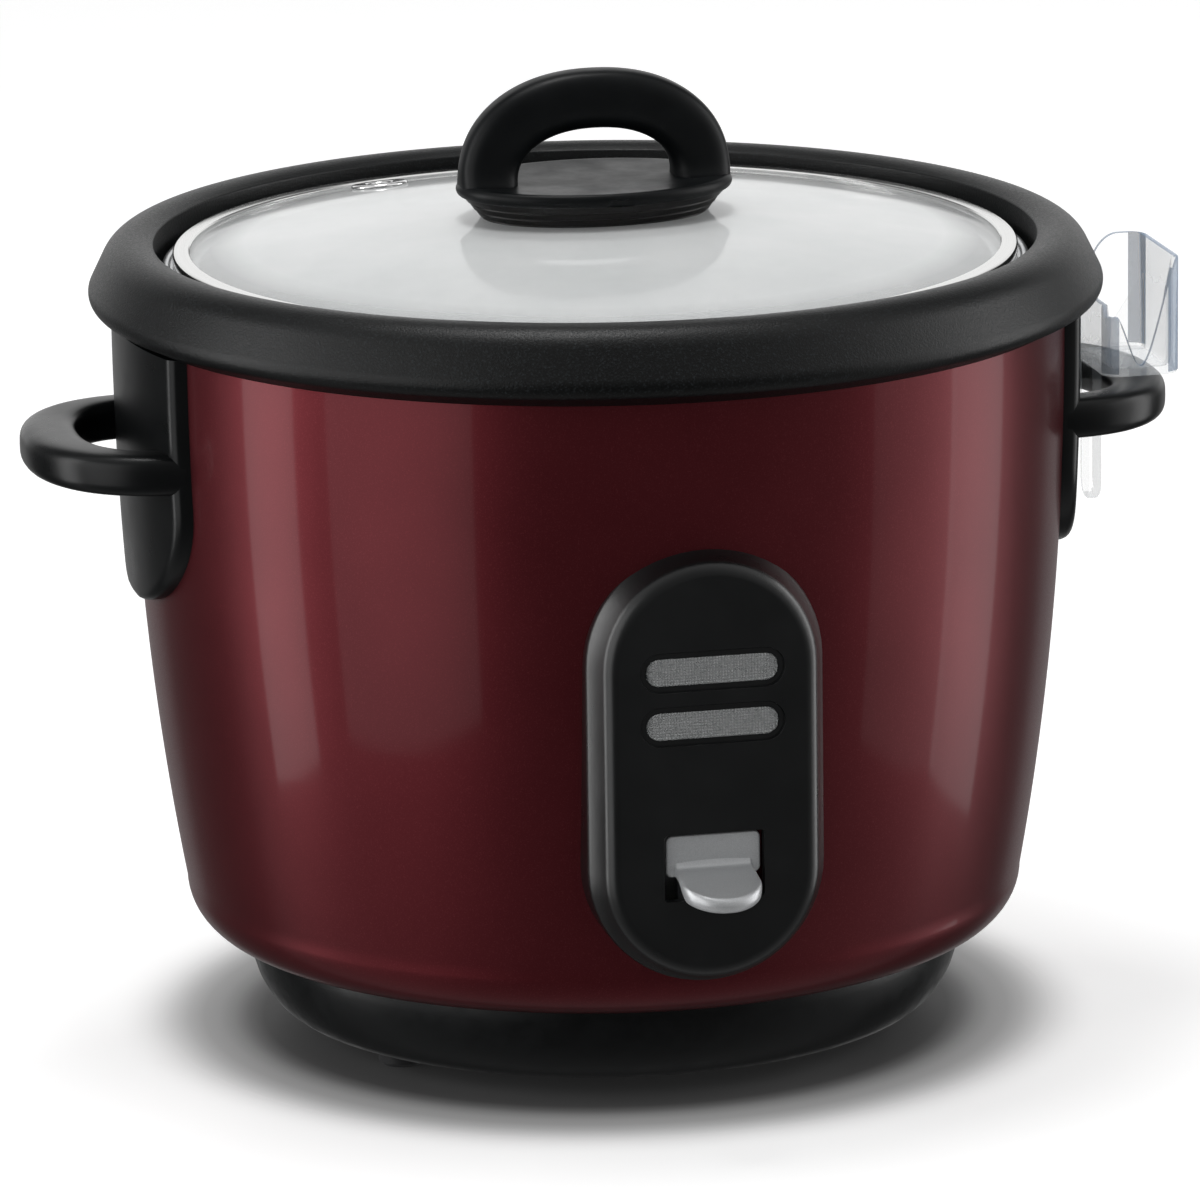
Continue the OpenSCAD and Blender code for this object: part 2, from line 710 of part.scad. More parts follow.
// Half the panel's section, width against distance forward of its root
function panel_section(inset) = concat(
    [[0, 0], [panel_half + panel_flare - inset, 0],
     [panel_half + panel_flare - inset, panel_shoulder_y - panel_root_y]],
    arc(panel_half - panel_round, panel_y - panel_root_y - panel_round,
        panel_round - inset / 2, panel_round - inset / 2, 20, 90, 5),
    [[0, panel_y - panel_root_y - inset / 2]]);

// The panel's long rounded body, each way an inset smaller
module panel_body(section) {
    for (z = [panel_low_z, panel_high_z])
        translate([0, -panel_root_y, z]) rotate([90, 0, 0]) rotate_extrude() polygon(section);
    for (s = [0, 1]) mirror([s, 0, 0])
        translate([0, -panel_root_y, panel_low_z]) mirror([0, 1, 0])
            linear_extrude(panel_high_z - panel_low_z) polygon(section);
}

// The hollow inside the panel
function panel_hollow() = [
    [0, 0], [panel_half + panel_flare - panel_wall, 0],
    [panel_half + panel_flare - panel_wall, panel_shoulder_y - panel_root_y],
    [panel_half - panel_wall, face_back_y - panel_root_y],
    [0, face_back_y - panel_root_y]];

panel_boss_r = 3.8;
lens_flange = 1.1;
lens_flange_t = 1.5;

module window_places() {
    for (z = [warm_z, cook_z]) translate([0, z]) children();
}

module control_panel() {
    color(black) difference() {
        union() {
            difference() {
                panel_body(panel_section(0));
                panel_body(panel_hollow());
            }
            for (p = panel_screw_places)
                facing_front(-face_back_y, face_back_y - panel_root_y) translate(p) circle(r = panel_boss_r);
        }
        shell_core(shell_top_z);
        for (p = panel_screw_places)
            facing_front(-panel_screw_tip, panel_screw_tip - panel_root_y) translate(p)
                circle(r = screw_hole_r);
        facing_front(-panel_y - over, over + window_recess) window_places()
            slot_2d(window_w + 2 * window_margin, window_h + 2 * window_margin);
        facing_front(-panel_y - over, over + panel_wall + over) window_places()
            slot_2d(window_w + rest_gap, window_h + rest_gap);
        facing_front(-panel_y - over, 2 * over + panel_wall) translate([-slot_w / 2, slot_low_z])
            square([slot_w, slot_high_z - slot_low_z]);
    }
}
panel_screw_seat = [for (p = panel_screw_places)
    sqrt(pow(side_r(p[1] - screw_head_r) - shell_wall, 2) - pow(abs(p[0]) + screw_head_r, 2))];
panel_screw_tip = panel_y - 1;

module panel_screws() {
    color(steel) for (i = [0 : len(panel_screw_places) - 1])
        translate([panel_screw_places[i][0], -panel_screw_seat[i] + screw_head_h, panel_screw_places[i][1]])
            rotate([90, 0, 0]) screw_up(panel_screw_tip - panel_screw_seat[i] - 1);
}

// A ribbed clear lens, let into its window from behind
module lens(z) {
    color(clear_plastic) {
        facing_front(-panel_y + window_recess / 2, panel_wall - window_recess / 2)
            translate([0, z]) slot_2d(window_w, window_h);
        facing_front(-face_back_y, lens_flange_t)
            translate([0, z]) slot_2d(window_w + 2 * lens_flange, window_h + 2 * lens_flange);
    }
}
module keep_warm_lens() { lens(warm_z); }
module cook_lens() { lens(cook_z); }

lamp_y = face_back_y - lens_flange_t - lamp_r - 0.6;
lamp_board_y = lamp_y - lamp_standoff;
lamp_board_half = lamp_board_w / 2;
lamp_post_r = 1.7;
lamp_post_x = lamp_board_half - 3;
lamp_clip_t = 1.6;
lamp_clip_x = lamp_l / 2 - 3;

module lamp_holder() {
    middle = (warm_z + cook_z) / 2;
    pitch = warm_z - cook_z;
    color([0.85, 0.84, 0.80]) {
        facing_front(-lamp_board_y, lamp_board_t) translate([-lamp_board_half, middle - pitch - 2])
            square([2 * lamp_board_half, 2 * pitch + 4]);
        for (x = [-lamp_post_x, lamp_post_x], z = [middle - pitch, middle, middle + pitch])
            facing_front(-face_back_y, face_back_y - lamp_board_y) translate([x, z])
                circle(r = lamp_post_r);
        difference() {
            for (x = [-lamp_clip_x, lamp_clip_x], z = [warm_z, cook_z])
                translate([x - lamp_clip_t / 2, -lamp_y, z - lamp_r - 0.8])
                    cube([lamp_clip_t, lamp_y - lamp_board_y, 2 * lamp_r + 1.6]);
            for (z = [warm_z, cook_z]) translate([-lamp_l, -lamp_y, z]) rotate([0, 90, 0])
                cylinder(r = lamp_r, h = 2 * lamp_l);
        }
    }
}

module indicator_lamps() {
    color([0.95, 0.55, 0.25]) for (z = [warm_z, cook_z])
        translate([-lamp_l / 2, -lamp_y, z]) rotate([0, 90, 0]) cylinder(r = lamp_r, h = lamp_l);
}

// --- Heating plate ----------------------------------------------------------

plate_screw_depth = 5;

module element_tube(r) {
    rotate([0, 0, 90 + element_opening / 2]) rotate_extrude(angle = 360 - element_opening)
        translate([element_circle, plate_z]) circle(r = r);
}

module heating_plate() {
    color(aluminium) difference() {
        rotate_extrude() polygon(concat(
            [[plate_hole_r, plate_z], [plate_r, plate_z]],
            arc(plate_r - plate_round, plate_top_z - plate_round, plate_round, plate_round, 0, 90, 6),
            [[plate_hole_r, plate_top_z]]));
        element_tube(element_r);
        around(post_angles, post_circle)
            translate([0, 0, plate_z - over]) cylinder(r = screw_hole_r, h = plate_screw_depth + over);
    }
}

module heating_element() {
    color([0.45, 0.45, 0.47]) {
        element_tube(element_r);
        around(element_pin_angles, element_circle)
            translate([0, 0, plate_z - element_pin]) cylinder(r = element_pin_r, h = element_pin);
    }
}

module plate_standoffs() {
    color(steel) around(post_angles, post_circle) {
        for (level = [[shell_floor_z, post_h], [liner_floor_z, plate_gap]])
            translate([0, 0, level[0]]) difference() {
                cylinder(r = post_r, h = level[1]);
                translate([0, 0, -over]) cylinder(r = screw_hole_r, h = level[1] + 2 * over);
            }
    }
}

module plate_screws() {
    color(steel) around(post_angles, post_circle) translate([0, 0, shell_foot_z - screw_head_h])
        screw_up(plate_z - shell_foot_z + plate_screw_depth - 0.2);
}

// --- Temperature sensor and magnet -------------------------------------------

cup_z = plate_z - cup_h;
cup_floor_z = cup_z + cup_wall;
cup_flange_r = cup_r + cup_wall + 4.5;
sensor_z = plate_top_z - sensor_t;
sleeve_z = sensor_z - sleeve_h;
magnet_z = cup_floor_z + rest_gap;

module thermostat_cup() {
    color(steel) rotate_extrude() polygon([
        [rod_r + run_fit, cup_z], [cup_r + cup_wall, cup_z],
        [cup_r + cup_wall, plate_z - cup_wall], [cup_flange_r, plate_z - cup_wall],
        [cup_flange_r, plate_z], [cup_r, plate_z],
        [cup_r, cup_floor_z], [rod_r + run_fit, cup_floor_z]]);
}

spring_step = 18;

module sensor_spring() {
    low = cup_floor_z + spring_wire_r;
    high = sensor_z - spring_wire_r;
    sides = 8;
    rings = spring_turns * 360 / spring_step;
    color(steel) swept([for (k = [0 : rings]) let (a = k * spring_step, z = low + (high - low) * k / rings)
        [for (i = [sides - 1 : -1 : 0]) let (
            b = 360 * i / sides, r = spring_r + spring_wire_r * cos(b))
            [r * cos(a), r * sin(a), z + spring_wire_r * sin(b)]]]);
}

module sensor_cap() {
    color(aluminium) rotate_extrude() polygon([
        [0, sensor_z], [sleeve_r - sleeve_wall, sensor_z], [sleeve_r - sleeve_wall, sleeve_z],
        [sleeve_r, sleeve_z], [sleeve_r, sensor_z], [sensor_r, sensor_z],
        [sensor_r, plate_top_z], [0, plate_top_z]]);
}

module sensor_ferrite() {
    color([0.25, 0.25, 0.27]) translate([0, 0, sensor_z - ferrite_t])
        cylinder(r = sleeve_r - sleeve_wall, h = ferrite_t);
}

pivot_z = liner_z - 8;
arm_top_z = pivot_z + lever_t / 2;
collar_t = 1.5;
collar_z = arm_top_z + 0.8;
rod_low_z = pivot_z - 3;

module magnet_plunger() {
    color([0.35, 0.35, 0.38]) {
        translate([0, 0, rod_low_z]) cylinder(r = rod_r, h = magnet_z - rod_low_z);
        translate([0, 0, collar_z]) cylinder(r = collar_r, h = collar_t);
        translate([0, 0, magnet_z]) cylinder(r = magnet_r, h = magnet_t);
    }
}

// --- Cook lever ---------------------------------------------------------------

strip_y = liner_r + 4;
strip_low_z = liner_z + 12;
arm_front_y = liner_bottom_r + 2;
arm_end_y = 7;
lever_plate_y = panel_y - 1.6;
lever_plate_back_y = lever_plate_y - lever_t;
tip_y = panel_y + paddle_reach;
tip_top_z = paddle_z - paddle_droop;
paddle_t = 2.2;
paddle_corner = 7;
pivot_boss_r = pivot_r + 2;
pivot_boss_half = 7.5;
fork_gap = 0.5;
ear_gap = 0.5;
ear_t = 1.2;
bracket_t = 1.2;
bracket_half = bracket_w / 2;
leaf_y = pivot_y - bracket_back - 3;
leaf_z = pivot_z + 3;
leaf_t = 0.5;
finger_x = pivot_boss_half + 4.5;
switch_x = pivot_boss_half + ear_gap + ear_t;
switch_w = 6.5;
switch_l = 18;
switch_h = 11;
switch_y = pivot_y - bracket_back;
switch_tabs = [4, 14];
tab_l = 4;

// Extrudes an outline of Y and Z along X, centred
module across(width) {
    translate([-width / 2, 0, 0]) rotate([90, 0, 90]) linear_extrude(width) children();
}

module switch_lever() {
    half = lever_t / 2;
    lip = lip_t / 2;
    color([0.72, 0.74, 0.75]) difference() {
        union() {
            facing_front(-lever_plate_y, lever_t) polygon(concat(
                arc(lever_plate_w / 2 - 1, lever_plate_z - 1, 1, 1, 0, 90, 3),
                arc(1 - lever_plate_w / 2, lever_plate_z - 1, 1, 1, 90, 180, 3),
                [[-lever_plate_w / 2, paddle_z - paddle_t], [lever_plate_w / 2, paddle_z - paddle_t]]));
            intersection() {
                across(lever_plate_w) polygon(concat(
                    [[-lever_plate_back_y, paddle_z]],
                    arc(lip - tip_y, tip_top_z - lip, lip, lip, 90, 250, 6),
                    [[lip - tip_y + 3, tip_top_z - paddle_t], [-lever_plate_back_y, paddle_z - paddle_t]]));
                translate([0, 0, tip_top_z - 2 * lip_t]) linear_extrude(paddle_z - tip_top_z + 3 * lip_t)
                    polygon(concat(
                        [[paddle_w / 2, -lever_plate_back_y]],
                        arc(paddle_w / 2 - paddle_corner, paddle_corner - tip_y, paddle_corner, paddle_corner,
                            0, -90, 6),
                        arc(paddle_corner - paddle_w / 2, paddle_corner - tip_y, paddle_corner, paddle_corner,
                            270, 180, 6),
                        [[-paddle_w / 2, -lever_plate_back_y]]));
            }
            across(lever_arm_w) polygon([
                [-lever_plate_back_y - half, paddle_z], [half - strip_y, paddle_z],
                [half - strip_y, strip_low_z], [half - arm_front_y, arm_top_z],
                [arm_end_y, arm_top_z], [arm_end_y, arm_top_z - lever_t],
                [-half - arm_front_y, arm_top_z - lever_t], [-half - strip_y, strip_low_z],
                [-half - strip_y, paddle_z - lever_t], [-lever_plate_back_y - half, paddle_z - lever_t]]);
            across(2 * pivot_boss_half) translate([-pivot_y, pivot_z]) circle(r = pivot_boss_r);
            translate([0, -leaf_y - 1, arm_top_z - lever_t]) cube([finger_x, 2, lever_t]);
        }
        across(2 * pivot_boss_half + 2 * over) translate([-pivot_y, pivot_z]) circle(r = pivot_r + run_fit);
        translate([-rod_r - fork_gap, -rod_r - 2, pivot_z - 2 * lever_t])
            cube([2 * (rod_r + fork_gap), arm_end_y + rod_r + 2 + over, 4 * lever_t]);
    }
}

module lever_bracket() {
    color(steel) difference() {
        union() {
            translate([-bracket_half, -pivot_y - bracket_front, liner_z - bracket_t])
                cube([2 * bracket_half, bracket_front + bracket_back, bracket_t]);
            for (s = [-1, 1]) translate([s * (pivot_boss_half + ear_gap + ear_t / 2), 0, 0]) across(ear_t) {
                translate([-pivot_y - pivot_boss_r, pivot_z])
                    square([2 * pivot_boss_r, liner_z - bracket_t - pivot_z]);
                translate([-pivot_y, pivot_z]) circle(r = pivot_boss_r);
            }
        }
        across(2 * bracket_half) translate([-pivot_y, pivot_z]) circle(r = pivot_r);
    }
}

module lever_pin() {
    color(steel) across(2 * (pivot_boss_half + ear_gap + ear_t + 1.5))
        translate([-pivot_y, pivot_z]) circle(r = pivot_r);
}

module microswitch() {
    color([0.15, 0.15, 0.16]) {
        translate([switch_x, -switch_y - switch_l, liner_z - bracket_t - switch_h])
            cube([switch_w, switch_l, switch_h]);
        for (y = switch_tabs) translate([switch_x + switch_w / 2 - 0.4, -switch_y - y - 1.5,
                liner_z - bracket_t - switch_h - tab_l])
            cube([0.8, 3, tab_l]);
        translate([switch_x + 0.4, -switch_y, leaf_z]) cube([2, switch_y - leaf_y + 2, leaf_t]);
    }
}

// --- Safety parts and wiring ----------------------------------------------------

fuse_r = 2.4;
fuse_half = 12;
fuse_y = element_circle - 20;
fuse_z = liner_z - fuse_r - 0.1;
warm_stat_x = -0.7 * element_circle;
warm_stat_r = 8;
warm_stat_h = 7;

module thermal_fuse() {
    color([0.88, 0.86, 0.78]) translate([-fuse_half, fuse_y, fuse_z]) rotate([0, 90, 0])
        cylinder(r = fuse_r, h = 2 * fuse_half);
}

module keep_warm_thermostat() {
    color([0.30, 0.22, 0.16]) translate([warm_stat_x, 0, liner_z - warm_stat_h]) {
        cylinder(r = warm_stat_r, h = warm_stat_h);
        for (s = [-1, 1]) translate([s * warm_stat_r / 2 - 0.4, -1.5, -tab_l]) cube([0.8, 3, tab_l]);
    }
}

pin_pitch = 7;
earth_rise = 4;
pin_w = 2;
pin_h = 4;
pin_free = 11;
pin_tail = 6;
inlet_back_y = inlet_face_y + inlet_flange_t - inlet_depth;
inlet_flange_h = 2 * (shell_foot_z - rest_gap - inlet_z);

module power_inlet() {
    color([0.10, 0.10, 0.11]) difference() {
        union() {
            translate([-inlet_body_w / 2, inlet_back_y - inlet_back_t, inlet_z - inlet_body_h / 2])
                cube([inlet_body_w, inlet_face_y - inlet_back_y + inlet_back_t, inlet_body_h]);
            translate([-inlet_body_w / 2 - inlet_ear, inlet_face_y, inlet_z - inlet_flange_h / 2])
                cube([inlet_body_w + 2 * inlet_ear, inlet_flange_t, inlet_flange_h]);
        }
        translate([-inlet_w / 2, inlet_back_y, inlet_z - inlet_h / 2])
            cube([inlet_w, inlet_depth + over, inlet_h]);
        for (s = [-1, 1]) translate([s * inlet_screw_x, inlet_face_y - over, inlet_z]) rotate([-90, 0, 0])
            cylinder(r = inlet_screw_r, h = inlet_flange_t + 2 * over);
        inlet_pins();
    }
}

module inlet_pins() {
    color(brass) for (p = [[-pin_pitch, 0], [pin_pitch, 0], [0, earth_rise]])
        translate([p[0] - pin_w / 2, inlet_back_y - inlet_back_t - pin_tail,
                inlet_z + p[1] - pin_h / 2])
            cube([pin_w, pin_free + inlet_back_t + pin_tail, pin_h]);
}

module inlet_screws() {
    color(steel) for (s = [-1, 1]) translate([s * inlet_screw_x, 0, inlet_z]) rotate([90, 0, 0]) {
        translate([0, 0, -inlet_face_y - inlet_flange_t - 1.4]) cylinder(r = inlet_screw_head_r, h = 1.4);
        translate([0, 0, -inlet_face_y - inlet_flange_t]) cylinder(r = inlet_screw_r, h = inlet_screw_length);
    }
}

wire_r = 1.1;
wire_sides = 8;
wire_steps = 4;

// Direction of the wire at one of its points, as long as the shorter stretch beside it
function wire_tangent(p, k) = let (
    a = p[max(k - 1, 0)], c = p[min(k + 1, len(p) - 1)],
    before = norm(p[k] - a), after = norm(c - p[k]),
    reach = before == 0 ? after : after == 0 ? before : min(before, after))
    (c - a) / norm(c - a) * reach;

// A smooth curve through a list of points, as a finer list
function smooth_line(p) = concat(
    [for (k = [0 : len(p) - 2], j = [0 : wire_steps - 1]) let (t = j / wire_steps, s = 1 - t)
        p[k] * s * s * (1 + 2 * t) + wire_tangent(p, k) * t * s * s
        + p[k + 1] * t * t * (1 + 2 * s) - wire_tangent(p, k + 1) * t * t * s],
    [p[len(p) - 1]]);

// A ring of points round place p, square to direction d
function wire_ring(p, d) = let (
    u = d / norm(d),
    side = cross(u, abs(u[2]) < 0.9 ? [0, 0, 1] : [1, 0, 0]),
    v = side / norm(side), w = cross(u, v))
    [for (i = [0 : wire_sides - 1]) let (a = 360 * i / wire_sides)
        p + wire_r * (cos(a) * v + sin(a) * w)];

// A wire along a route, cut off square to the route's first and last stretch
module wire(route) {
    line = smooth_line(route);
    last = len(line) - 1;
    far = len(route) - 1;
    swept([for (k = [0 : last]) wire_ring(line[k],
        k == 0 ? route[1] - route[0]
        : k == last ? route[far] - route[far - 1]
        : line[k + 1] - line[k - 1])]);
}

// Point between the liner and the shell's front, at a radius from the axis
function behind_front(x, r, z) = [x, -sqrt(r * r - x * x), z];

// Height in the space under the liner, 0 at the base's floor and 1 at the liner
function low_space(t) = base_floor_z + (liner_z - base_floor_z) * t;

// Height behind the panel, 0 at the liner's floor and 1 at the cook window
function panel_space(t) = liner_z + (cook_z - liner_z) * t;

wire_slack = 3;      // straight length of a wire at its end

// The way up to the lamps on one side, past the lever's slot
function lamp_route(side) = let (
    past_slot = shell_slot_half + 13,
    end = [side * (lamp_board_half - 6), lamp_board_t - lamp_board_y, (cook_z + warm_z) / 2]) [
    behind_front(side * (past_slot - 3), liner_bottom_r + 2, low_space(0.81)),
    behind_front(side * (past_slot - 1), liner_bottom_r + 7, panel_space(0.05)),
    behind_front(side * past_slot, liner_r + 2, panel_space(0.2)),
    behind_front(side * past_slot, liner_r + 3, panel_space(0.5)),
    behind_front(side * (past_slot - 5), liner_r + 4, panel_space(0.78)),
    end + [0, wire_slack, 0],
    end];

module inner_wiring() {
    pin_y = inlet_back_y - inlet_back_t - pin_tail;
    pin_x = element_circle * sin(element_opening / 2);
    element_y = element_circle * cos(element_opening / 2);
    element_low_z = plate_z - element_pin;
    tab_z = liner_z - bracket_t - switch_h - tab_l;
    tab_x = switch_x + switch_w / 2;
    run_x = bracket_half + 1;
    near_tab = [tab_x, -switch_y - switch_tabs[0], tab_z];
    far_tab = [tab_x, -switch_y - switch_tabs[1], tab_z];
    switch_side = [switch_x + switch_w, -switch_y - switch_l / 2, low_space(0.75)];
    stat_tab = [warm_stat_x - warm_stat_r / 2, 0, liner_z - warm_stat_h - tab_l];
    color([0.85, 0.85, 0.80]) {
        // inlet to the element's first pin
        wire([[-pin_pitch, pin_y, inlet_z], [-pin_pitch, pin_y - wire_slack, inlet_z],
            [-run_x, element_circle, low_space(0.4)],
            [-pin_x, element_y, element_low_z - 2 * wire_slack], [-pin_x, element_y, element_low_z]]);
        // inlet to the switch
        wire([[pin_pitch, pin_y, inlet_z], [pin_pitch, pin_y - wire_slack, inlet_z],
            [run_x, element_circle - 20, low_space(0.18)], [run_x, 0, low_space(0.12)],
            [run_x, -switch_y / 2, low_space(0.2)],
            far_tab - [0, 0, 2 * wire_slack], far_tab]);
        // switch to the fuse, and from the fuse to the element's second pin
        wire([near_tab, near_tab - [0, 0, 2 * wire_slack], [0, -switch_y / 2, low_space(0.18)],
            [-run_x, 5, low_space(0.23)], [-run_x - 6, fuse_y - 10, low_space(0.5)],
            [-fuse_half - 9, fuse_y - 1, low_space(0.84)],
            [-fuse_half - wire_slack, fuse_y, fuse_z], [-fuse_half, fuse_y, fuse_z]]);
        wire([[fuse_half, fuse_y, fuse_z], [fuse_half + wire_slack, fuse_y, fuse_z],
            [run_x + 2, fuse_y + 4, low_space(0.7)], [pin_x, element_y - 4, low_space(0.56)],
            [pin_x, element_y, element_low_z - 2 * wire_slack], [pin_x, element_y, element_low_z]]);
        // switch and keep-warm thermostat to the lamps
        wire(concat([switch_side, switch_side + [wire_slack, 0, 0],
            [run_x + 7, -element_circle - 10, low_space(0.72)]], lamp_route(1)));
        wire(concat([stat_tab, stat_tab - [0, 0, wire_slack],
            [stat_tab[0], -0.5 * element_circle, low_space(0.6)],
            [-2 * run_x, 10 - plate_r, low_space(0.72)]], lamp_route(-1)));
    }
}

// --- Cooking pot --------------------------------------------------------------

pot_bead_z = pot_rim_z + 0.9;

// Half the pot's outline from its middle out to its rim, drawn in by a distance
function pot_profile(inset) = concat(
    [[0, pot_z + inset]],
    arc(pot_r - pot_draw - pot_corner, pot_z + pot_corner,
        pot_corner - inset, pot_corner - inset, -90, 0, 9));

module cooking_pot() {
    inner = pot_profile(pot_wall);
    color(aluminium) {
        rotate_extrude($fn = 144) polygon(concat(
            pot_profile(0),
            [[pot_r, pot_rim_z], [pot_r + pot_rim, pot_rim_z],
             [pot_r + pot_rim, pot_rim_z + pot_wall], [pot_r - pot_wall, pot_rim_z + pot_wall]],
            [for (i = [len(inner) - 1 : -1 : 0]) inner[i]]));
        rotate_extrude($fn = 144) translate([pot_r + pot_rim, pot_bead_z]) circle(r = pot_bead_r, $fn = 32);
    }
}

// --- Lid ----------------------------------------------------------------------

dome_steps = 12;
dome_r = band_r - lid_band_w;

// Height of the glass dome's underside at a distance from the axis
function dome_z(r) = glass_edge_z + glass_rise * (1 - pow(min(r, dome_r) / dome_r, 2));

// The glass dome without its holes, raised and thickened as asked
module dome(low, high) {
    rotate_extrude($fn = 144) polygon(concat(
        [for (i = [0 : dome_steps]) let (r = dome_r * i / dome_steps) [r, dome_z(r) + low]],
        [[glass_r, glass_edge_z + low], [glass_r, glass_edge_z + high]],
        [for (i = [dome_steps : -1 : 0]) let (r = dome_r * i / dome_steps) [r, dome_z(r) + high]]));
}

// Stands things square to the glass at the steam vent
module vent_place() {
    slope = atan(2 * glass_rise * vent_circle / pow(dome_r, 2));
    rotate(vent_angle) translate([vent_circle, 0, dome_z(vent_circle)]) rotate([0, slope, 0]) children();
}
steam_tube_r = steam_hole_r + 1;

module lid_glass() {
    color([0.80, 0.87, 0.88, 0.35]) difference() {
        dome(0, glass_t);
        vent_place() translate([0, 0, -3 * glass_t]) cylinder(r = steam_tube_r, h = 6 * glass_t);
        translate([0, 0, glass_edge_z]) cylinder(r = lid_hole_r, h = glass_rise + 2 * glass_t);
    }
}

module lid_band() {
    top = lid_band_z + lid_band_h;
    color(steel) rotate_extrude($fn = 144) polygon([
        [band_r - lid_band_w, lid_band_z], [band_r, lid_band_z], [band_r, top], [band_r - lid_band_w, top],
        [band_r - lid_band_w, top - lid_band_wall], [glass_r, top - lid_band_wall],
        [glass_r, lid_band_z + lid_band_wall], [band_r - lid_band_w, lid_band_z + lid_band_wall]]);
}

module steam_vent() {
    rim_t = 0.8;
    slack = 0.1;
    color(steel) vent_place() rotate_extrude() polygon([
        [steam_hole_r, -slack - rim_t], [steam_tube_r + 1.5, -slack - rim_t],
        [steam_tube_r + 1.5, -slack], [steam_tube_r, -slack],
        [steam_tube_r, glass_t + slack], [steam_rim_r, glass_t + slack],
        [steam_rim_r - rim_t, glass_t + slack + rim_t], [steam_hole_r, glass_t + slack + rim_t]]);
}

function ellipse(a, b) = [for (i = [0 : 79]) [a * cos(4.5 * i), b * sin(4.5 * i)]];
knob_boss_r = 7;
knob_screw_top = knob_deck_z - 1;
knob_washer_t = 1;
knob_washer_r = 9;

module knob_seat() {
    steps = 3;
    step_h = knob_seat_h / steps;
    color(black) difference() {
        for (i = [0 : steps - 1]) let (low = i == 0 ? -over : i * step_h, high = (i + 1) * step_h)
            translate([0, 0, glass_top_z + low])
                linear_extrude(min(high + step_h / 2, knob_seat_h) - low)
                    polygon(ellipse(knob_half_x - 6 + 2 * i, knob_half_y - 4 + 1.3 * i));
        dome(-1, glass_t);
        translate([0, 0, glass_edge_z]) cylinder(r = knob_boss_r, h = knob_z);
    }
}

arch_steps = 40;
arch_root_dip = 5;
arch_out_x = knob_half_x - 0.5;
arch_power = 2.2;    // how square the arch's outline is
arch_section_power = 3.2;

// Point on the arch's section at a place along it, 0 at the +X foot and 1 at the -X foot
function arch_point(t, a) = let (
    q = squircle((180 + 2 * arch_root_dip) * t - arch_root_dip, arch_power),
    outer = [arch_out_x * q[0], knob_arch_h * q[1]],
    inner = [knob_opening_x * q[0], knob_opening_h * q[1]],
    p = squircle(a, arch_section_power),
    plan = (inner + outer) / 2 + (outer - inner) / 2 * p[0])
    [plan[0], knob_arch_w / 2 * p[1], knob_deck_z + plan[1]];

knob_rim_round = 1.6;
knob_rim_steps = 3;

// The knob's base plate, with a rounded upper rim
module knob_plate() {
    translate([0, 0, knob_z]) linear_extrude(knob_plate_t - knob_rim_round)
        polygon(ellipse(knob_half_x, knob_half_y));
    for (i = [1 : knob_rim_steps]) let (
            a = 90 * i / knob_rim_steps,
            low = knob_plate_t - knob_rim_round,
            inset = knob_rim_round * (1 - cos(90 * (i - 0.5) / knob_rim_steps)))
        translate([0, 0, knob_z]) linear_extrude(low + knob_rim_round * sin(a))
            polygon(ellipse(knob_half_x - inset, knob_half_y - inset));
}

module lid_knob() {
    color(black) difference() {
        union() {
            knob_plate();
            translate([0, 0, glass_top_z]) cylinder(r = knob_boss_r, h = knob_seat_h + 1);
            swept([for (k = [0 : arch_steps])
                [for (i = [0 : section_sides - 1]) arch_point(k / arch_steps, -360 * i / section_sides)]]);
        }
        dome(-1, glass_t);
        translate([0, 0, glass_edge_z]) cylinder(r = knob_screw_r, h = knob_screw_top - glass_edge_z);
    }
}

module knob_washer() {
    washer_gap = 0.02;    // between the washer's rim and the falling glass
    low = glass_top_z - glass_t - knob_washer_t;
    color([0.75, 0.76, 0.75]) translate([0, 0, low]) difference() {
        cylinder(r = knob_washer_r, h = dome_z(knob_washer_r) - washer_gap - low);
        translate([0, 0, -over]) cylinder(r = knob_screw_r, h = knob_washer_t + 2 * over);
    }
}

module knob_screw() {
    low = glass_top_z - glass_t - knob_washer_t;
    color(steel) translate([0, 0, low - screw_head_h])
        screw_up(knob_screw_top - low, knob_screw_r);
}

// --- Spoon holder ----------------------------------------------------------------

holder_x = shell_top_r + ring_overhang + rest_gap;
holder_z = handle_z + handle_bar_h / 2 + rest_gap;
cup_corner = 5;
holder_low_x = 6;
notch_x = cup_x / 2;
rib_t = 1.2;
rib_y = 6;
low_curve_r = 8;

module rounded_2d(x0, y0, x1, y1, r) {
    polygon(concat(
        arc(x1 - r, y1 - r, r, r, 0, 90, 6), arc(x0 + r, y1 - r, r, r, 90, 180, 6),
        arc(x0 + r, y0 + r, r, r, 180, 270, 6), arc(x1 - r, y0 + r, r, r, 270, 360, 6)));
}

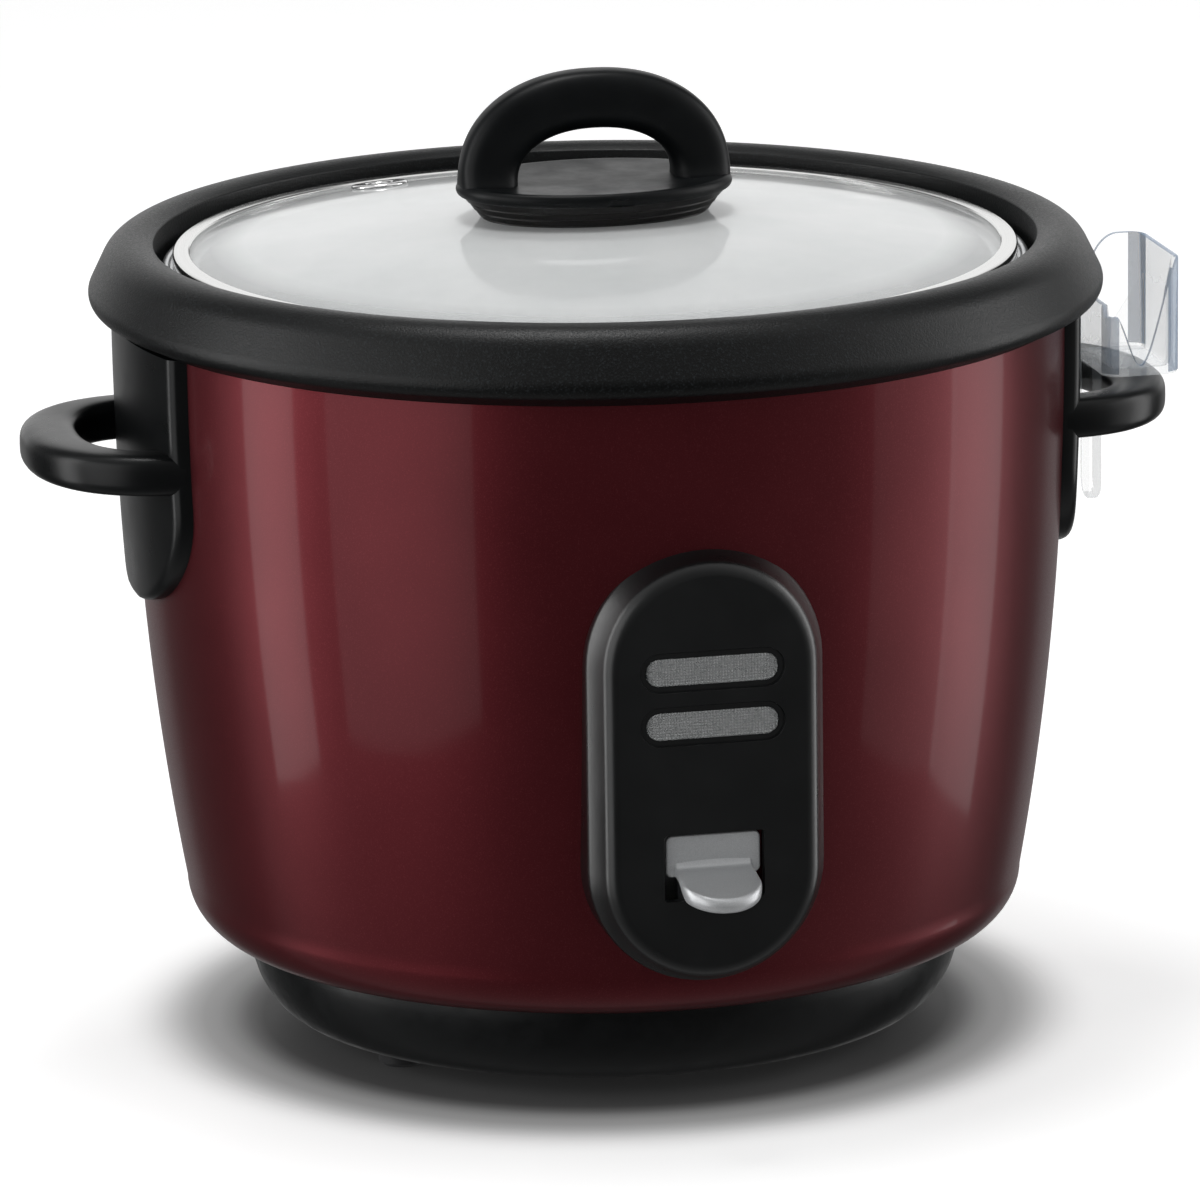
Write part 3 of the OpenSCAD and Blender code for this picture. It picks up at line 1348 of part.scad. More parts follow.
module spoon_holder() {
    wall = holder_wall;
    top = holder_z + holder_h;
    color(clear_plastic) {
        difference() {
            translate([0, 0, holder_z]) linear_extrude(holder_h)
                rounded_2d(holder_x, -cup_y / 2, holder_x + cup_x, cup_y / 2, cup_corner);
            translate([0, 0, holder_z + wall]) linear_extrude(holder_h)
                rounded_2d(holder_x + wall, -cup_y / 2 + wall, holder_x + cup_x - wall, cup_y / 2 - wall,
                    cup_corner - wall);
            // the side next to the cooker is low, and rises in a curve
            facing_front(-cup_y, 2 * cup_y) polygon(concat(
                [[holder_x - over, holder_z + holder_low], [holder_x + holder_low_x, holder_z + holder_low]],
                arc(holder_x + holder_low_x + low_curve_r, holder_z + holder_low + 2, low_curve_r,
                    holder_h - holder_low - 2, 170, 90, 6),
                [[holder_x + holder_low_x + low_curve_r, top + over], [holder_x - over, top + over]]));
            // notch in the front wall for the spoon's handle
            facing_front(-cup_y / 2 - over, cup_corner + over) polygon(concat(
                arc(holder_x + notch_x, holder_z + wall + notch_r, notch_r, notch_r, 180, 350, 8),
                [[holder_x + cup_x - 2.5, top + over], [holder_x + notch_x - notch_r, top + over]]));
        }
        translate([0, rib_y, 0]) facing_front(0, rib_t) polygon([
            [holder_x + 2 * wall, holder_z + wall / 2],
            [holder_x + cup_x - wall - 1, holder_z + wall / 2],
            [holder_x + cup_x - wall - 1.5, holder_z + wall + rib_h]]);
        translate([holder_x, 0, 0]) rotate([90, 0, 90]) linear_extrude(stem_t) {
            translate([-stem_w / 2, holder_z - stem_h + stem_w / 2])
                square([stem_w, stem_h - stem_w / 2 + wall / 2]);
            translate([0, holder_z - stem_h + stem_w / 2]) circle(d = stem_w);
        }
    }
}

base_pan();
feet();
base_screws();
outer_shell();
top_ring();
inner_liner();
left_handle();
right_handle();
handle_screws();
control_panel();
panel_screws();
keep_warm_lens();
cook_lens();
lamp_holder();
indicator_lamps();
heating_plate();
heating_element();
plate_standoffs();
plate_screws();
thermostat_cup();
sensor_spring();
sensor_cap();
sensor_ferrite();
magnet_plunger();
lever_bracket();
lever_pin();
switch_lever();
microswitch();
thermal_fuse();
keep_warm_thermostat();
power_inlet();
inlet_pins();
inlet_screws();
inner_wiring();
cooking_pot();
lid_glass();
lid_band();
steam_vent();
knob_seat();
lid_knob();
knob_washer();
knob_screw();
spoon_holder();
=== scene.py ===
import bmesh
import bpy
import math
import numpy as np
from mathutils import Matrix, Vector
from mathutils.geometry import delaunay_2d_cdt


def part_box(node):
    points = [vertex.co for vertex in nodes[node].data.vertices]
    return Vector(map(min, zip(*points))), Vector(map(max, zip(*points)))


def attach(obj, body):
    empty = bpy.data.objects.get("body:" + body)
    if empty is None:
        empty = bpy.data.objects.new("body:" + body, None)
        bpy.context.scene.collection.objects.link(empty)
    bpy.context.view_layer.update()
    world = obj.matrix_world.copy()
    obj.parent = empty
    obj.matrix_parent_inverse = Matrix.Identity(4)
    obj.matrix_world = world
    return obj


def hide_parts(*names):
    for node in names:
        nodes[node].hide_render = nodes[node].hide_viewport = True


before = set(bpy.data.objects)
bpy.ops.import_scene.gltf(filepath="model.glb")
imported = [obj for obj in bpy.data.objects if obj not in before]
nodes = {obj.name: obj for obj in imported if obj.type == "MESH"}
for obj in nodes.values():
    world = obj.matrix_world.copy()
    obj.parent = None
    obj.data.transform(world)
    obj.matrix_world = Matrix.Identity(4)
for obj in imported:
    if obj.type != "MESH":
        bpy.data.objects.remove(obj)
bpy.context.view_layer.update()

# --- Camera ---------------------------------------------------------------
# A long lens looks at the cooker from a little to the left of its panel and from slightly above,
# as for a catalogue, level but for a very small tilt.

CAMERA_AZIMUTH = math.radians(-12.5)
CAMERA_ELEVATION = math.radians(13.85)
CAMERA_ROLL = -0.014
CAMERA_DISTANCE = 2.24
CAMERA_TARGET = Vector((0.0, 0.0, 0.1099))
camera_data = bpy.data.cameras.new("camera")
camera_data.sensor_width = 36.0
camera_data.lens = 258.2
camera_data.clip_end = 20.0
camera = bpy.data.objects.new("camera", camera_data)
bpy.context.scene.collection.objects.link(camera)
forward = Vector((-math.sin(CAMERA_AZIMUTH) * math.cos(CAMERA_ELEVATION),
                  math.cos(CAMERA_AZIMUTH) * math.cos(CAMERA_ELEVATION),
                  -math.sin(CAMERA_ELEVATION)))
level_right = forward.cross(Vector((0, 0, 1))).normalized()
level_up = level_right.cross(forward)
right = math.cos(CAMERA_ROLL) * level_right + math.sin(CAMERA_ROLL) * level_up
up = -math.sin(CAMERA_ROLL) * level_right + math.cos(CAMERA_ROLL) * level_up
camera.matrix_world = (Matrix.Translation(CAMERA_TARGET - CAMERA_DISTANCE * forward)
                       @ Matrix((right, up, -forward)).transposed().to_4x4())
bpy.context.scene.camera = camera
bpy.context.scene.view_settings.view_transform = "Standard"

# --- Studio -----------------------------------------------------------------
# The cooker stands on a wide pale floor in a white room; a painted shadow darkens the floor under its base.
# Two tall soft lamps on each side draw the long streaks down the shell, and one above and a little behind
# lights the lid.


def node_material(name):
    """A material with a node tree: returns it, its tree's nodes and links, and its Principled shader."""
    material = bpy.data.materials.new(name)
    material.use_nodes = True
    tree = material.node_tree
    return material, tree.nodes, tree.links, tree.nodes["Principled BSDF"]


def seen_directly(shader_nodes, links):
    """A socket that is 1 for camera, glossy and transmission rays and 0 for the others."""
    path = shader_nodes.new("ShaderNodeLightPath")
    either = shader_nodes.new("ShaderNodeMath")
    either.operation = "MAXIMUM"
    links.new(path.outputs["Is Camera Ray"], either.inputs[0])
    links.new(path.outputs["Is Glossy Ray"], either.inputs[1])
    any_of_three = shader_nodes.new("ShaderNodeMath")
    any_of_three.operation = "MAXIMUM"
    links.new(either.outputs[0], any_of_three.inputs[0])
    links.new(path.outputs["Is Transmission Ray"], any_of_three.inputs[1])
    return any_of_three.outputs[0]


WORLD_LIGHT = 0.34
world = bpy.data.worlds.new("studio")
bpy.context.scene.world = world
world.use_nodes = True
world_nodes, world_links = world.node_tree.nodes, world.node_tree.links
surrounding = world_nodes["Background"]
surrounding.inputs["Color"].default_value = (1.0, 1.0, 1.0, 1.0)
# the room is white, but gloss finds dark where the photographer stands, in the two back corners and
# below the table's edge
way = world_nodes.new("ShaderNodeTexCoord")
towards_front = world_nodes.new("ShaderNodeVectorMath")
towards_front.operation = "DOT_PRODUCT"
towards_front.inputs[1].default_value = (math.sin(CAMERA_AZIMUTH) / 2, -math.cos(CAMERA_AZIMUTH) / 2, 0.0)
world_links.new(way.outputs["Generated"], towards_front.inputs[0])
half_up = world_nodes.new("ShaderNodeMath")
half_up.operation = "ADD"
half_up.inputs[1].default_value = 0.5
world_links.new(towards_front.outputs["Value"], half_up.inputs[0])
room = world_nodes.new("ShaderNodeValToRGB")
ROOM_TONES = ((0.0, 1.0), (0.08, 1.0), (0.12, 0.22), (0.34, 0.18), (0.40, 1.0), (0.55, 1.0), (0.78, 0.62),
              (0.91, 0.34), (1.0, 0.24))
TABLE_EDGE, TABLE_TONE = (-0.16, 0.02), 0.40
for k, (position, tone) in enumerate(ROOM_TONES):
    stop = room.color_ramp.elements[k] if k < 2 else room.color_ramp.elements.new(position)
    stop.position, stop.color = position, (tone, tone, tone, 1.0)
world_links.new(half_up.outputs[0], room.inputs["Fac"])
world_strength = world_nodes.new("ShaderNodeMapRange")
world_strength.inputs["To Min"].default_value = WORLD_LIGHT
world_links.new(seen_directly(world_nodes, world_links), world_strength.inputs["Value"])
world_path = world_nodes.new("ShaderNodeLightPath")
seen_plain = world_nodes.new("ShaderNodeMath")
seen_plain.operation = "MAXIMUM"
world_links.new(world_path.outputs["Is Camera Ray"], seen_plain.inputs[0])
world_links.new(world_path.outputs["Is Transmission Ray"], seen_plain.inputs[1])
heights = world_nodes.new("ShaderNodeSeparateXYZ")
world_links.new(way.outputs["Generated"], heights.inputs["Vector"])
above_table = world_nodes.new("ShaderNodeMapRange")
above_table.inputs["From Min"].default_value, above_table.inputs["From Max"].default_value = TABLE_EDGE
above_table.inputs["To Min"].default_value = TABLE_TONE
world_links.new(heights.outputs["Z"], above_table.inputs["Value"])
dimmed = world_nodes.new("ShaderNodeMath")
dimmed.operation = "MULTIPLY"
world_links.new(room.outputs["Color"], dimmed.inputs[0])
world_links.new(above_table.outputs["Result"], dimmed.inputs[1])
seen_room = world_nodes.new("ShaderNodeMapRange")
seen_room.inputs["To Max"].default_value = 1.0
world_links.new(seen_plain.outputs[0], seen_room.inputs["Value"])
world_links.new(dimmed.outputs[0], seen_room.inputs["To Min"])
world_links.new(seen_room.outputs["Result"], world_strength.inputs["To Max"])
world_links.new(world_strength.outputs["Result"], surrounding.inputs["Strength"])

FLOOR_HALF = 6.0
# the floor's tone and its white lift both drop close to the cooker's axis: a painted contact shadow under the base
FLOOR_TONES_AND_SHADOW = ((0.088, 0.09), (0.102, 0.28), (0.122, 0.70))
FLOOR_LIFTS_AND_SHADOW = ((0.090, 0.008), (0.104, 0.14), (0.130, 0.55))
floor_mesh = bpy.data.meshes.new("floor")
floor_mesh.from_pydata([(x * FLOOR_HALF, y * FLOOR_HALF, 0.0) for x, y in ((-1, -1), (1, -1), (1, 1), (-1, 1))],
                       [], [(0, 1, 2, 3)])
floor = bpy.data.objects.new("floor", floor_mesh)
bpy.context.scene.collection.objects.link(floor)
floor_material, floor_nodes, floor_links, floor_shader = node_material("floor")
floor_place = floor_nodes.new("ShaderNodeTexCoord")
floor_distance = floor_nodes.new("ShaderNodeVectorMath")
floor_distance.operation = "LENGTH"
floor_links.new(floor_place.outputs["Object"], floor_distance.inputs[0])


def painted_shadow_by_distance(stops):
    """A colour of the floor that follows the distance from the cooker's axis, in metres: a painted
    shadow makes the floor darkest under the base, where the feet leave only a narrow gap."""
    ramp = floor_nodes.new("ShaderNodeValToRGB")
    ramp.color_ramp.interpolation = "EASE"
    for k, (position, tone) in enumerate(stops):
        stop = ramp.color_ramp.elements[k] if k < 2 else ramp.color_ramp.elements.new(position)
        stop.position, stop.color = position, (tone, tone, tone, 1.0)
    floor_links.new(floor_distance.outputs["Value"], ramp.inputs["Fac"])
    return ramp.outputs["Color"]


floor_links.new(painted_shadow_by_distance(FLOOR_TONES_AND_SHADOW), floor_shader.inputs["Base Color"])
floor_shader.inputs["Roughness"].default_value = 0.6
floor_shader.inputs["Emission Color"].default_value = (1.0, 1.0, 1.0, 1.0)
floor_lift = floor_nodes.new("ShaderNodeMath")
floor_lift.operation = "MULTIPLY"
floor_links.new(painted_shadow_by_distance(FLOOR_LIFTS_AND_SHADOW), floor_lift.inputs[1])
floor_links.new(seen_directly(floor_nodes, floor_links), floor_lift.inputs[0])
floor_links.new(floor_lift.outputs[0], floor_shader.inputs["Emission Strength"])
floor_mesh.materials.append(floor_material)
floor.visible_glossy = False


def soft_lamp(name, place, size, power):
    """An upright or level area lamp at a place, facing the middle of the cooker."""
    data = bpy.data.lights.new(name, "AREA")
    data.shape = "RECTANGLE"
    data.size, data.size_y = size
    data.energy = power
    lamp = bpy.data.objects.new(name, data)
    lamp.location = place
    lamp.rotation_euler = (CAMERA_TARGET - Vector(place)).to_track_quat("-Z", "Y").to_euler()
    bpy.context.scene.collection.objects.link(lamp)
    return lamp


soft_lamp("lamp_left", (-1.85, 0.25, 0.25), (0.55, 2.0), 17.0)
soft_lamp("lamp_left_front", (-1.62, -0.90, 0.25), (1.30, 2.0), 14.0)
soft_lamp("lamp_right", (1.86, 0.05, 0.25), (0.70, 2.0), 15.0)
soft_lamp("lamp_right_front", (1.75, -0.65, 0.25), (0.9, 2.0), 6.0)
soft_lamp("lamp_top", (-0.1, 0.15, 1.95), (0.7, 0.5), 14.0)

# --- Outer shell ---------------------------------------------------------------
# Deep-drawn steel sheet, sprayed burgundy with a fine metallic flake under clear lacquer.
# Its turned-in floor is screwed to the base, and its top edge stands up inside the ring.

shell_low, shell_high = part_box("outer_shell")
SHELL_TOP_R = shell_high[0]
SHELL_FOOT_Z = shell_low[2]
SHELL_TONGUE = 0.005
SHELL_TOP_Z = shell_high[2] - SHELL_TONGUE
SHELL_WALL = 0.001
SHELL_TAPER = 0.012
SHELL_CURVE = 2.2
SHELL_CORNER_W = 0.0125
SHELL_CORNER_H = 0.013
SHELL_FLOOR_W = 0.0265
SHELL_KNEE_Z = SHELL_FOOT_Z + SHELL_CORNER_H
SHELL_FOOT_R = SHELL_TOP_R - SHELL_TAPER - SHELL_CORNER_W


def side_radius(z):
    """Radius of the shell's side: full at the top, and drawn in by a power of the depth below it."""
    depth = np.clip((SHELL_TOP_Z - z) / (SHELL_TOP_Z - SHELL_KNEE_Z), 0.0, 1.0)
    return SHELL_TOP_R - SHELL_TAPER * depth ** SHELL_CURVE


def arc(x, y, rx, ry, start, end, steps=8):
    """Points on part of an ellipse round (x, y), from one angle in degrees to another."""
    angle = np.radians(np.linspace(start, end, steps + 1))
    return np.column_stack([x + rx * np.cos(angle), y + ry * np.sin(angle)])


def turned(profile, sides=256):
    """Grid of a profile of (radius, height) turned round the Z axis, one column for each side."""
    angle = np.linspace(0.0, 2.0 * np.pi, sides, endpoint=False)
    r, z = profile[:, 0:1], profile[:, 1:2]
    return np.stack([r * np.cos(angle), r * np.sin(angle), z + 0.0 * angle], axis=-1)


def skin(points, round_rows=False, round_columns=False, ends=False, keep=None):
    """Faces on a grid of points: a quad between four neighbours, wrapped where the rows or columns
    run round, with a face over each end row if asked. keep is a mask of the quads that stay."""
    rows, columns = points.shape[:2]
    index = np.arange(rows * columns).reshape(rows, columns)
    if round_rows:
        index = np.vstack([index, index[:1]])
    if round_columns:
        index = np.hstack([index, index[:, :1]])
    quads = np.stack([index[:-1, :-1], index[:-1, 1:], index[1:, 1:], index[1:, :-1]], axis=-1)
    quads = quads.reshape(-1, 4) if keep is None else quads[keep]
    faces = quads.tolist()
    if ends:
        faces.append(index[0, :columns][::-1].tolist())
        faces.append(index[rows - 1, :columns].tolist())
    return points.reshape(-1, 3), faces


def made_piece(name, skins, finish, body, stands_for=(), crease=40.0):
    """An object of one or more skins, merged at seams and poles, smooth but for edges sharper than
    the crease, which rides on a body and stands for its CAD nodes."""
    points, faces, count = [], [], 0
    for skin_points, skin_faces in skins:
        points.append(skin_points)
        faces += [[i + count for i in face] for face in skin_faces]
        count += len(skin_points)
    mesh = bpy.data.meshes.new(name)
    mesh.from_pydata(np.concatenate(points).tolist(), [], faces)
    shape = bmesh.new()
    shape.from_mesh(mesh)
    bmesh.ops.remove_doubles(shape, verts=shape.verts, dist=2e-6)
    bmesh.ops.recalc_face_normals(shape, faces=shape.faces)
    shape.to_mesh(mesh)
    shape.free()
    mesh.shade_smooth()
    mesh.set_sharp_from_angle(angle=math.radians(crease))
    mesh.materials.append(finish)
    piece = bpy.data.objects.new(name, mesh)
    bpy.context.scene.collection.objects.link(piece)
    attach(piece, body)
    if stands_for:
        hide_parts(*stands_for)
    return piece


def speckle(shader_nodes, links, pitch, detail=2.0, roughness=0.6, stretch=None):
    """A noise pattern fixed to the piece, with grains about one pitch apart, in metres."""
    place = shader_nodes.new("ShaderNodeTexCoord")
    noise = shader_nodes.new("ShaderNodeTexNoise")
    noise.inputs["Scale"].default_value = 1.0 / pitch
    noise.inputs["Detail"].default_value = detail
    noise.inputs["Roughness"].default_value = roughness
    source = place.outputs["Object"]
    if stretch:
        scaled = shader_nodes.new("ShaderNodeMapping")
        scaled.inputs["Scale"].default_value = stretch
        links.new(source, scaled.inputs["Vector"])
        source = scaled.outputs["Vector"]
    links.new(source, noise.inputs["Vector"])
    return noise.outputs["Fac"]


def graded(shader_nodes, links, source, low, high, from_low=0.3, from_high=0.7):
    """A value between two limits that follows a pattern."""
    spread = shader_nodes.new("ShaderNodeMapRange")
    spread.inputs["From Min"].default_value = from_low
    spread.inputs["From Max"].default_value = from_high
    spread.inputs["To Min"].default_value = low
    spread.inputs["To Max"].default_value = high
    links.new(source, spread.inputs["Value"])
    return spread.outputs["Result"]


def two_tone(shader_nodes, links, source, first, second, from_low=0.3, from_high=0.7):
    """A colour between two that follows a pattern."""
    ramp = shader_nodes.new("ShaderNodeValToRGB")
    ramp.color_ramp.elements[0].position = from_low
    ramp.color_ramp.elements[0].color = (*first, 1.0)
    ramp.color_ramp.elements[1].position = from_high
    ramp.color_ramp.elements[1].color = (*second, 1.0)
    links.new(source, ramp.inputs["Fac"])
    return ramp.outputs["Color"]


def relief(shader_nodes, links, shader, source, depth):
    """Fine relief of a depth in metres that follows a pattern, put into a shader's normal."""
    bump = shader_nodes.new("ShaderNodeBump")
    bump.inputs["Strength"].default_value = 1.0
    bump.inputs["Distance"].default_value = depth
    links.new(source, bump.inputs["Height"])
    links.new(bump.outputs["Normal"], shader.inputs["Normal"])


def burgundy_lacquer():
    """Dark red paint: a slow drift of tone and a fine flake under a glossy clear coat."""
    finish, shader_nodes, links, shader = node_material("burgundy_lacquer")
    flake = speckle(shader_nodes, links, 0.00035, 1.0)
    drift = speckle(shader_nodes, links, 0.05, 2.0)
    colour = two_tone(shader_nodes, links, drift, (0.080, 0.0105, 0.0138), (0.094, 0.0132, 0.0170))
    flecks = two_tone(shader_nodes, links, flake, (0.0, 0.0, 0.0), (0.030, 0.008, 0.009), 0.55, 0.75)
    paint = shader_nodes.new("ShaderNodeMix")
    paint.data_type = "RGBA"
    paint.blend_type = "ADD"
    paint.inputs["Factor"].default_value = 1.0
    links.new(colour, paint.inputs["A"])
    links.new(flecks, paint.inputs["B"])
    links.new(paint.outputs["Result"], shader.inputs["Base Color"])
    links.new(graded(shader_nodes, links, flake, 0.30, 0.40), shader.inputs["Roughness"])
    shader.inputs["Metallic"].default_value = 0.65
    shader.inputs["Specular IOR Level"].default_value = 0.05
    shader.inputs["Coat Weight"].default_value = 0.14
    shader.inputs["Coat Roughness"].default_value = 0.07
    relief(shader_nodes, links, shader, speckle(shader_nodes, links, 0.004, 3.0), 0.000006)
    return finish


# The two openings behind the panel, for the lever's strip and for the lamps
SHELL_OPENINGS = (((-0.0137, 0.0425), (0.0137, 0.0848)), ((-0.020, 0.0965), (0.020, 0.1332)))
side_z = np.union1d(np.linspace(SHELL_KNEE_Z, SHELL_TOP_Z, 40),
                    [z for low_corner, high_corner in SHELL_OPENINGS for z in (low_corner[1], high_corner[1])])
shell_profile = np.concatenate([
    [[SHELL_FOOT_R - SHELL_FLOOR_W, SHELL_FOOT_Z], [SHELL_FOOT_R - 0.001, SHELL_FOOT_Z]],
    arc(SHELL_FOOT_R, SHELL_KNEE_Z, SHELL_CORNER_W, SHELL_CORNER_H, -90, -6, 14),
    np.column_stack([side_radius(side_z), side_z]),
    [[SHELL_TOP_R, SHELL_TOP_Z + SHELL_TONGUE]]])
shell_points = turned(shell_profile, 360)
quad_middle = (shell_points + np.roll(shell_points, -1, axis=1))[:-1] / 4.0
quad_middle += (shell_points + np.roll(shell_points, -1, axis=1))[1:] / 4.0
shell_keep = np.ones(quad_middle.shape[:2], dtype=bool)
for (left_x, low_z), (right_x, high_z) in SHELL_OPENINGS:
    shell_keep &= ~((quad_middle[..., 1] < 0) & (quad_middle[..., 0] > left_x) & (quad_middle[..., 0] < right_x)
                    & (quad_middle[..., 2] > low_z) & (quad_middle[..., 2] < high_z))

lacquer = burgundy_lacquer()
outer_shell = made_piece("shell_sheet", [skin(shell_points, round_columns=True, keep=shell_keep)],
                         lacquer, "housing", ["outer_shell"])
sheet_gauge = outer_shell.modifiers.new("gauge", "SOLIDIFY")
sheet_gauge.thickness = SHELL_WALL
sheet_gauge.offset = -1.0

# --- Top ring ------------------------------------------------------------------
# Injection-moulded black plastic with a sparkling spark-eroded grain. It drops over the shell's top
# edge, and its inner ledge carries the liner.

ring_low, ring_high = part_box("top_ring")
RING_CREST_Z = ring_high[2]
RING_OVERHANG = ring_high[0] - SHELL_TOP_R
RING_NOSE_ROUND = 0.004
RING_NOSE_Z = SHELL_TOP_Z + 0.0062
RING_CREST_ROUND = 0.0088
RING_CREST_R = SHELL_TOP_R - 0.002
RING_MOUTH_R = SHELL_TOP_R - 0.0073
RING_MOUTH_EASE = 0.0007
RING_WALL = 0.0026
RING_SKIRT = 0.006
LEDGE_Z = SHELL_TOP_Z + 0.0085
LINER_R = SHELL_TOP_R - SHELL_WALL - 0.0127


def grained_black():
    """Black plastic with a sparkling eroded grain: bright grains in a dark ground, all in relief."""
    finish, shader_nodes, links, shader = node_material("grained_black")
    grain = speckle(shader_nodes, links, 0.00055, 2.0, 0.7)
    links.new(two_tone(shader_nodes, links, grain, (0.0016, 0.0019, 0.0020), (0.014, 0.018, 0.020), 0.54, 0.74),
              shader.inputs["Base Color"])
    links.new(graded(shader_nodes, links, grain, 0.30, 0.48), shader.inputs["Roughness"])
    shader.inputs["Specular IOR Level"].default_value = 0.22
    relief(shader_nodes, links, shader, grain, 0.00009)
    return finish


nose_r = ring_high[0] - RING_NOSE_ROUND
crest_centre_z = RING_CREST_Z - RING_CREST_ROUND
slope_run, slope_fall = nose_r - RING_CREST_R, crest_centre_z - RING_NOSE_Z
slope_angle = math.degrees(math.atan2(-slope_fall, slope_run) + math.acos(
    (RING_CREST_ROUND - RING_NOSE_ROUND) / math.hypot(slope_run, slope_fall)))
mouth_angle = math.degrees(math.acos((RING_MOUTH_R - RING_CREST_R) / RING_CREST_ROUND))
mouth_z = crest_centre_z + RING_CREST_ROUND * math.sin(math.radians(mouth_angle)) + 0.0004
skirt_r = SHELL_TOP_R - SHELL_WALL - 0.0001
ring_profile = np.concatenate([
    arc(RING_MOUTH_R + RING_MOUTH_EASE, mouth_z - RING_MOUTH_EASE, RING_MOUTH_EASE, RING_MOUTH_EASE, 180, 125, 5),
    arc(RING_CREST_R, crest_centre_z, RING_CREST_ROUND, RING_CREST_ROUND, mouth_angle - 5.0, slope_angle, 24),
    arc(nose_r, RING_NOSE_Z, RING_NOSE_ROUND, RING_NOSE_ROUND, slope_angle, -65, 20),
    [[SHELL_TOP_R + RING_WALL, SHELL_TOP_Z + 0.0003], [SHELL_TOP_R + RING_WALL - 0.0004, SHELL_TOP_Z],
     [SHELL_TOP_R + 0.00002, SHELL_TOP_Z], [SHELL_TOP_R + 0.00002, SHELL_TOP_Z + SHELL_TONGUE],
     [skirt_r, SHELL_TOP_Z + SHELL_TONGUE], [skirt_r, SHELL_TOP_Z - RING_SKIRT],
     [skirt_r - RING_WALL, SHELL_TOP_Z - RING_SKIRT], [skirt_r - RING_WALL, LEDGE_Z - RING_WALL],
     [LINER_R, LEDGE_Z - RING_WALL], [LINER_R, LEDGE_Z - 0.0005], [LINER_R + 0.0005, LEDGE_Z],
     [RING_MOUTH_R, LEDGE_Z]]])
ring_black = grained_black()
made_piece("rim_ring", [skin(turned(ring_profile, 360), round_rows=True, round_columns=True)],
           ring_black, "housing", ["top_ring"])

# --- Side handles ---------------------------------------------------------------
# Satin black plastic. Each is one moulding: a plate that follows the shell, with a fine bevel round
# it, and a level loop for the fingers. Two screws from inside the shell hold it.

HANDLE_HALF = 0.040
HANDLE_PLATE_H = 0.0695
HANDLE_PLATE_ROUND = 0.030
HANDLE_PLATE_T = 0.004
HANDLE_BEVEL = 0.0022
HANDLE_REACH = 0.0293
HANDLE_BAR_END = 0.0151
HANDLE_BAR_ROOT = 0.0115
HANDLE_BAR_H = 0.0108
HANDLE_Z = SHELL_TOP_Z - 0.030
HANDLE_SECTION_POWER = 3.4
HANDLE_PLATE_LOW = SHELL_TOP_Z - HANDLE_PLATE_H


def satin_black(name, specular):
    """Smooth black plastic: a faint fine texture, with roughness that drifts a little."""
    finish, shader_nodes, links, shader = node_material(name)
    texture = speckle(shader_nodes, links, 0.0003, 2.0)
    drift = speckle(shader_nodes, links, 0.02, 3.0)
    links.new(two_tone(shader_nodes, links, drift, (0.0022, 0.0026, 0.0029), (0.0036, 0.0042, 0.0046)),
              shader.inputs["Base Color"])
    links.new(graded(shader_nodes, links, drift, 0.26, 0.34), shader.inputs["Roughness"])
    shader.inputs["Specular IOR Level"].default_value = specular
    relief(shader_nodes, links, shader, texture, 0.000012)
    return finish


def squared_round(angle, power):
    """Unit outline between a circle, power 2, and a square: cosine and sine, each to the 2/power."""
    c, s = np.cos(angle), np.sin(angle)
    return np.sign(c) * np.abs(c) ** (2.0 / power), np.sign(s) * np.abs(s) ** (2.0 / power)


def handle_plate(side):
    """The plate on one side: rows up its height, each a ring across the front and back across the
    shell. Its thickness rises from the shell over a quarter-round bevel along the outline."""
    rise = np.concatenate([1.0 - np.cos(np.linspace(0.02, 0.5, 16) * np.pi), np.linspace(1.06, 2.32, 24)])
    z = HANDLE_PLATE_LOW + HANDLE_PLATE_ROUND * np.minimum(rise, HANDLE_PLATE_H / HANDLE_PLATE_ROUND)[:, None]
    above = (z - HANDLE_PLATE_LOW) / HANDLE_PLATE_ROUND
    half = HANDLE_HALF * np.sqrt(np.clip(1.0 - (1.0 - np.minimum(above, 1.0)) ** 2, 0.0, 1.0))
    across = np.sin(np.linspace(-0.5, 0.5, 41) * np.pi)[None, :]
    y = half * across
    slope_in = np.maximum(1.0 - np.minimum(above, 1.0), 0.0)
    edge_distance = (half - np.abs(y)) * np.sqrt(np.clip(1.0 - slope_in ** 2, 0.02, 1.0))
    low_distance = z - HANDLE_PLATE_LOW
    inward = np.minimum(edge_distance, low_distance)
    bevel = np.clip(inward / HANDLE_BEVEL, 0.0, 1.0)
    lift = HANDLE_PLATE_T * (0.45 * (bevel > 0) + 0.55 * np.sqrt(1.0 - (1.0 - bevel) ** 2))
    front_r = side_radius(z) + lift
    back_r = side_radius(z) - 0.0002 + 0.0 * y
    front = np.stack([side * np.sqrt(front_r ** 2 - y ** 2), y, z + 0.0 * y], axis=-1)
    back = np.stack([side * np.sqrt(back_r ** 2 - y ** 2), y, z + 0.0 * y], axis=-1)
    return skin(np.concatenate([front, back[:, ::-1]], axis=1), round_columns=True, ends=True)


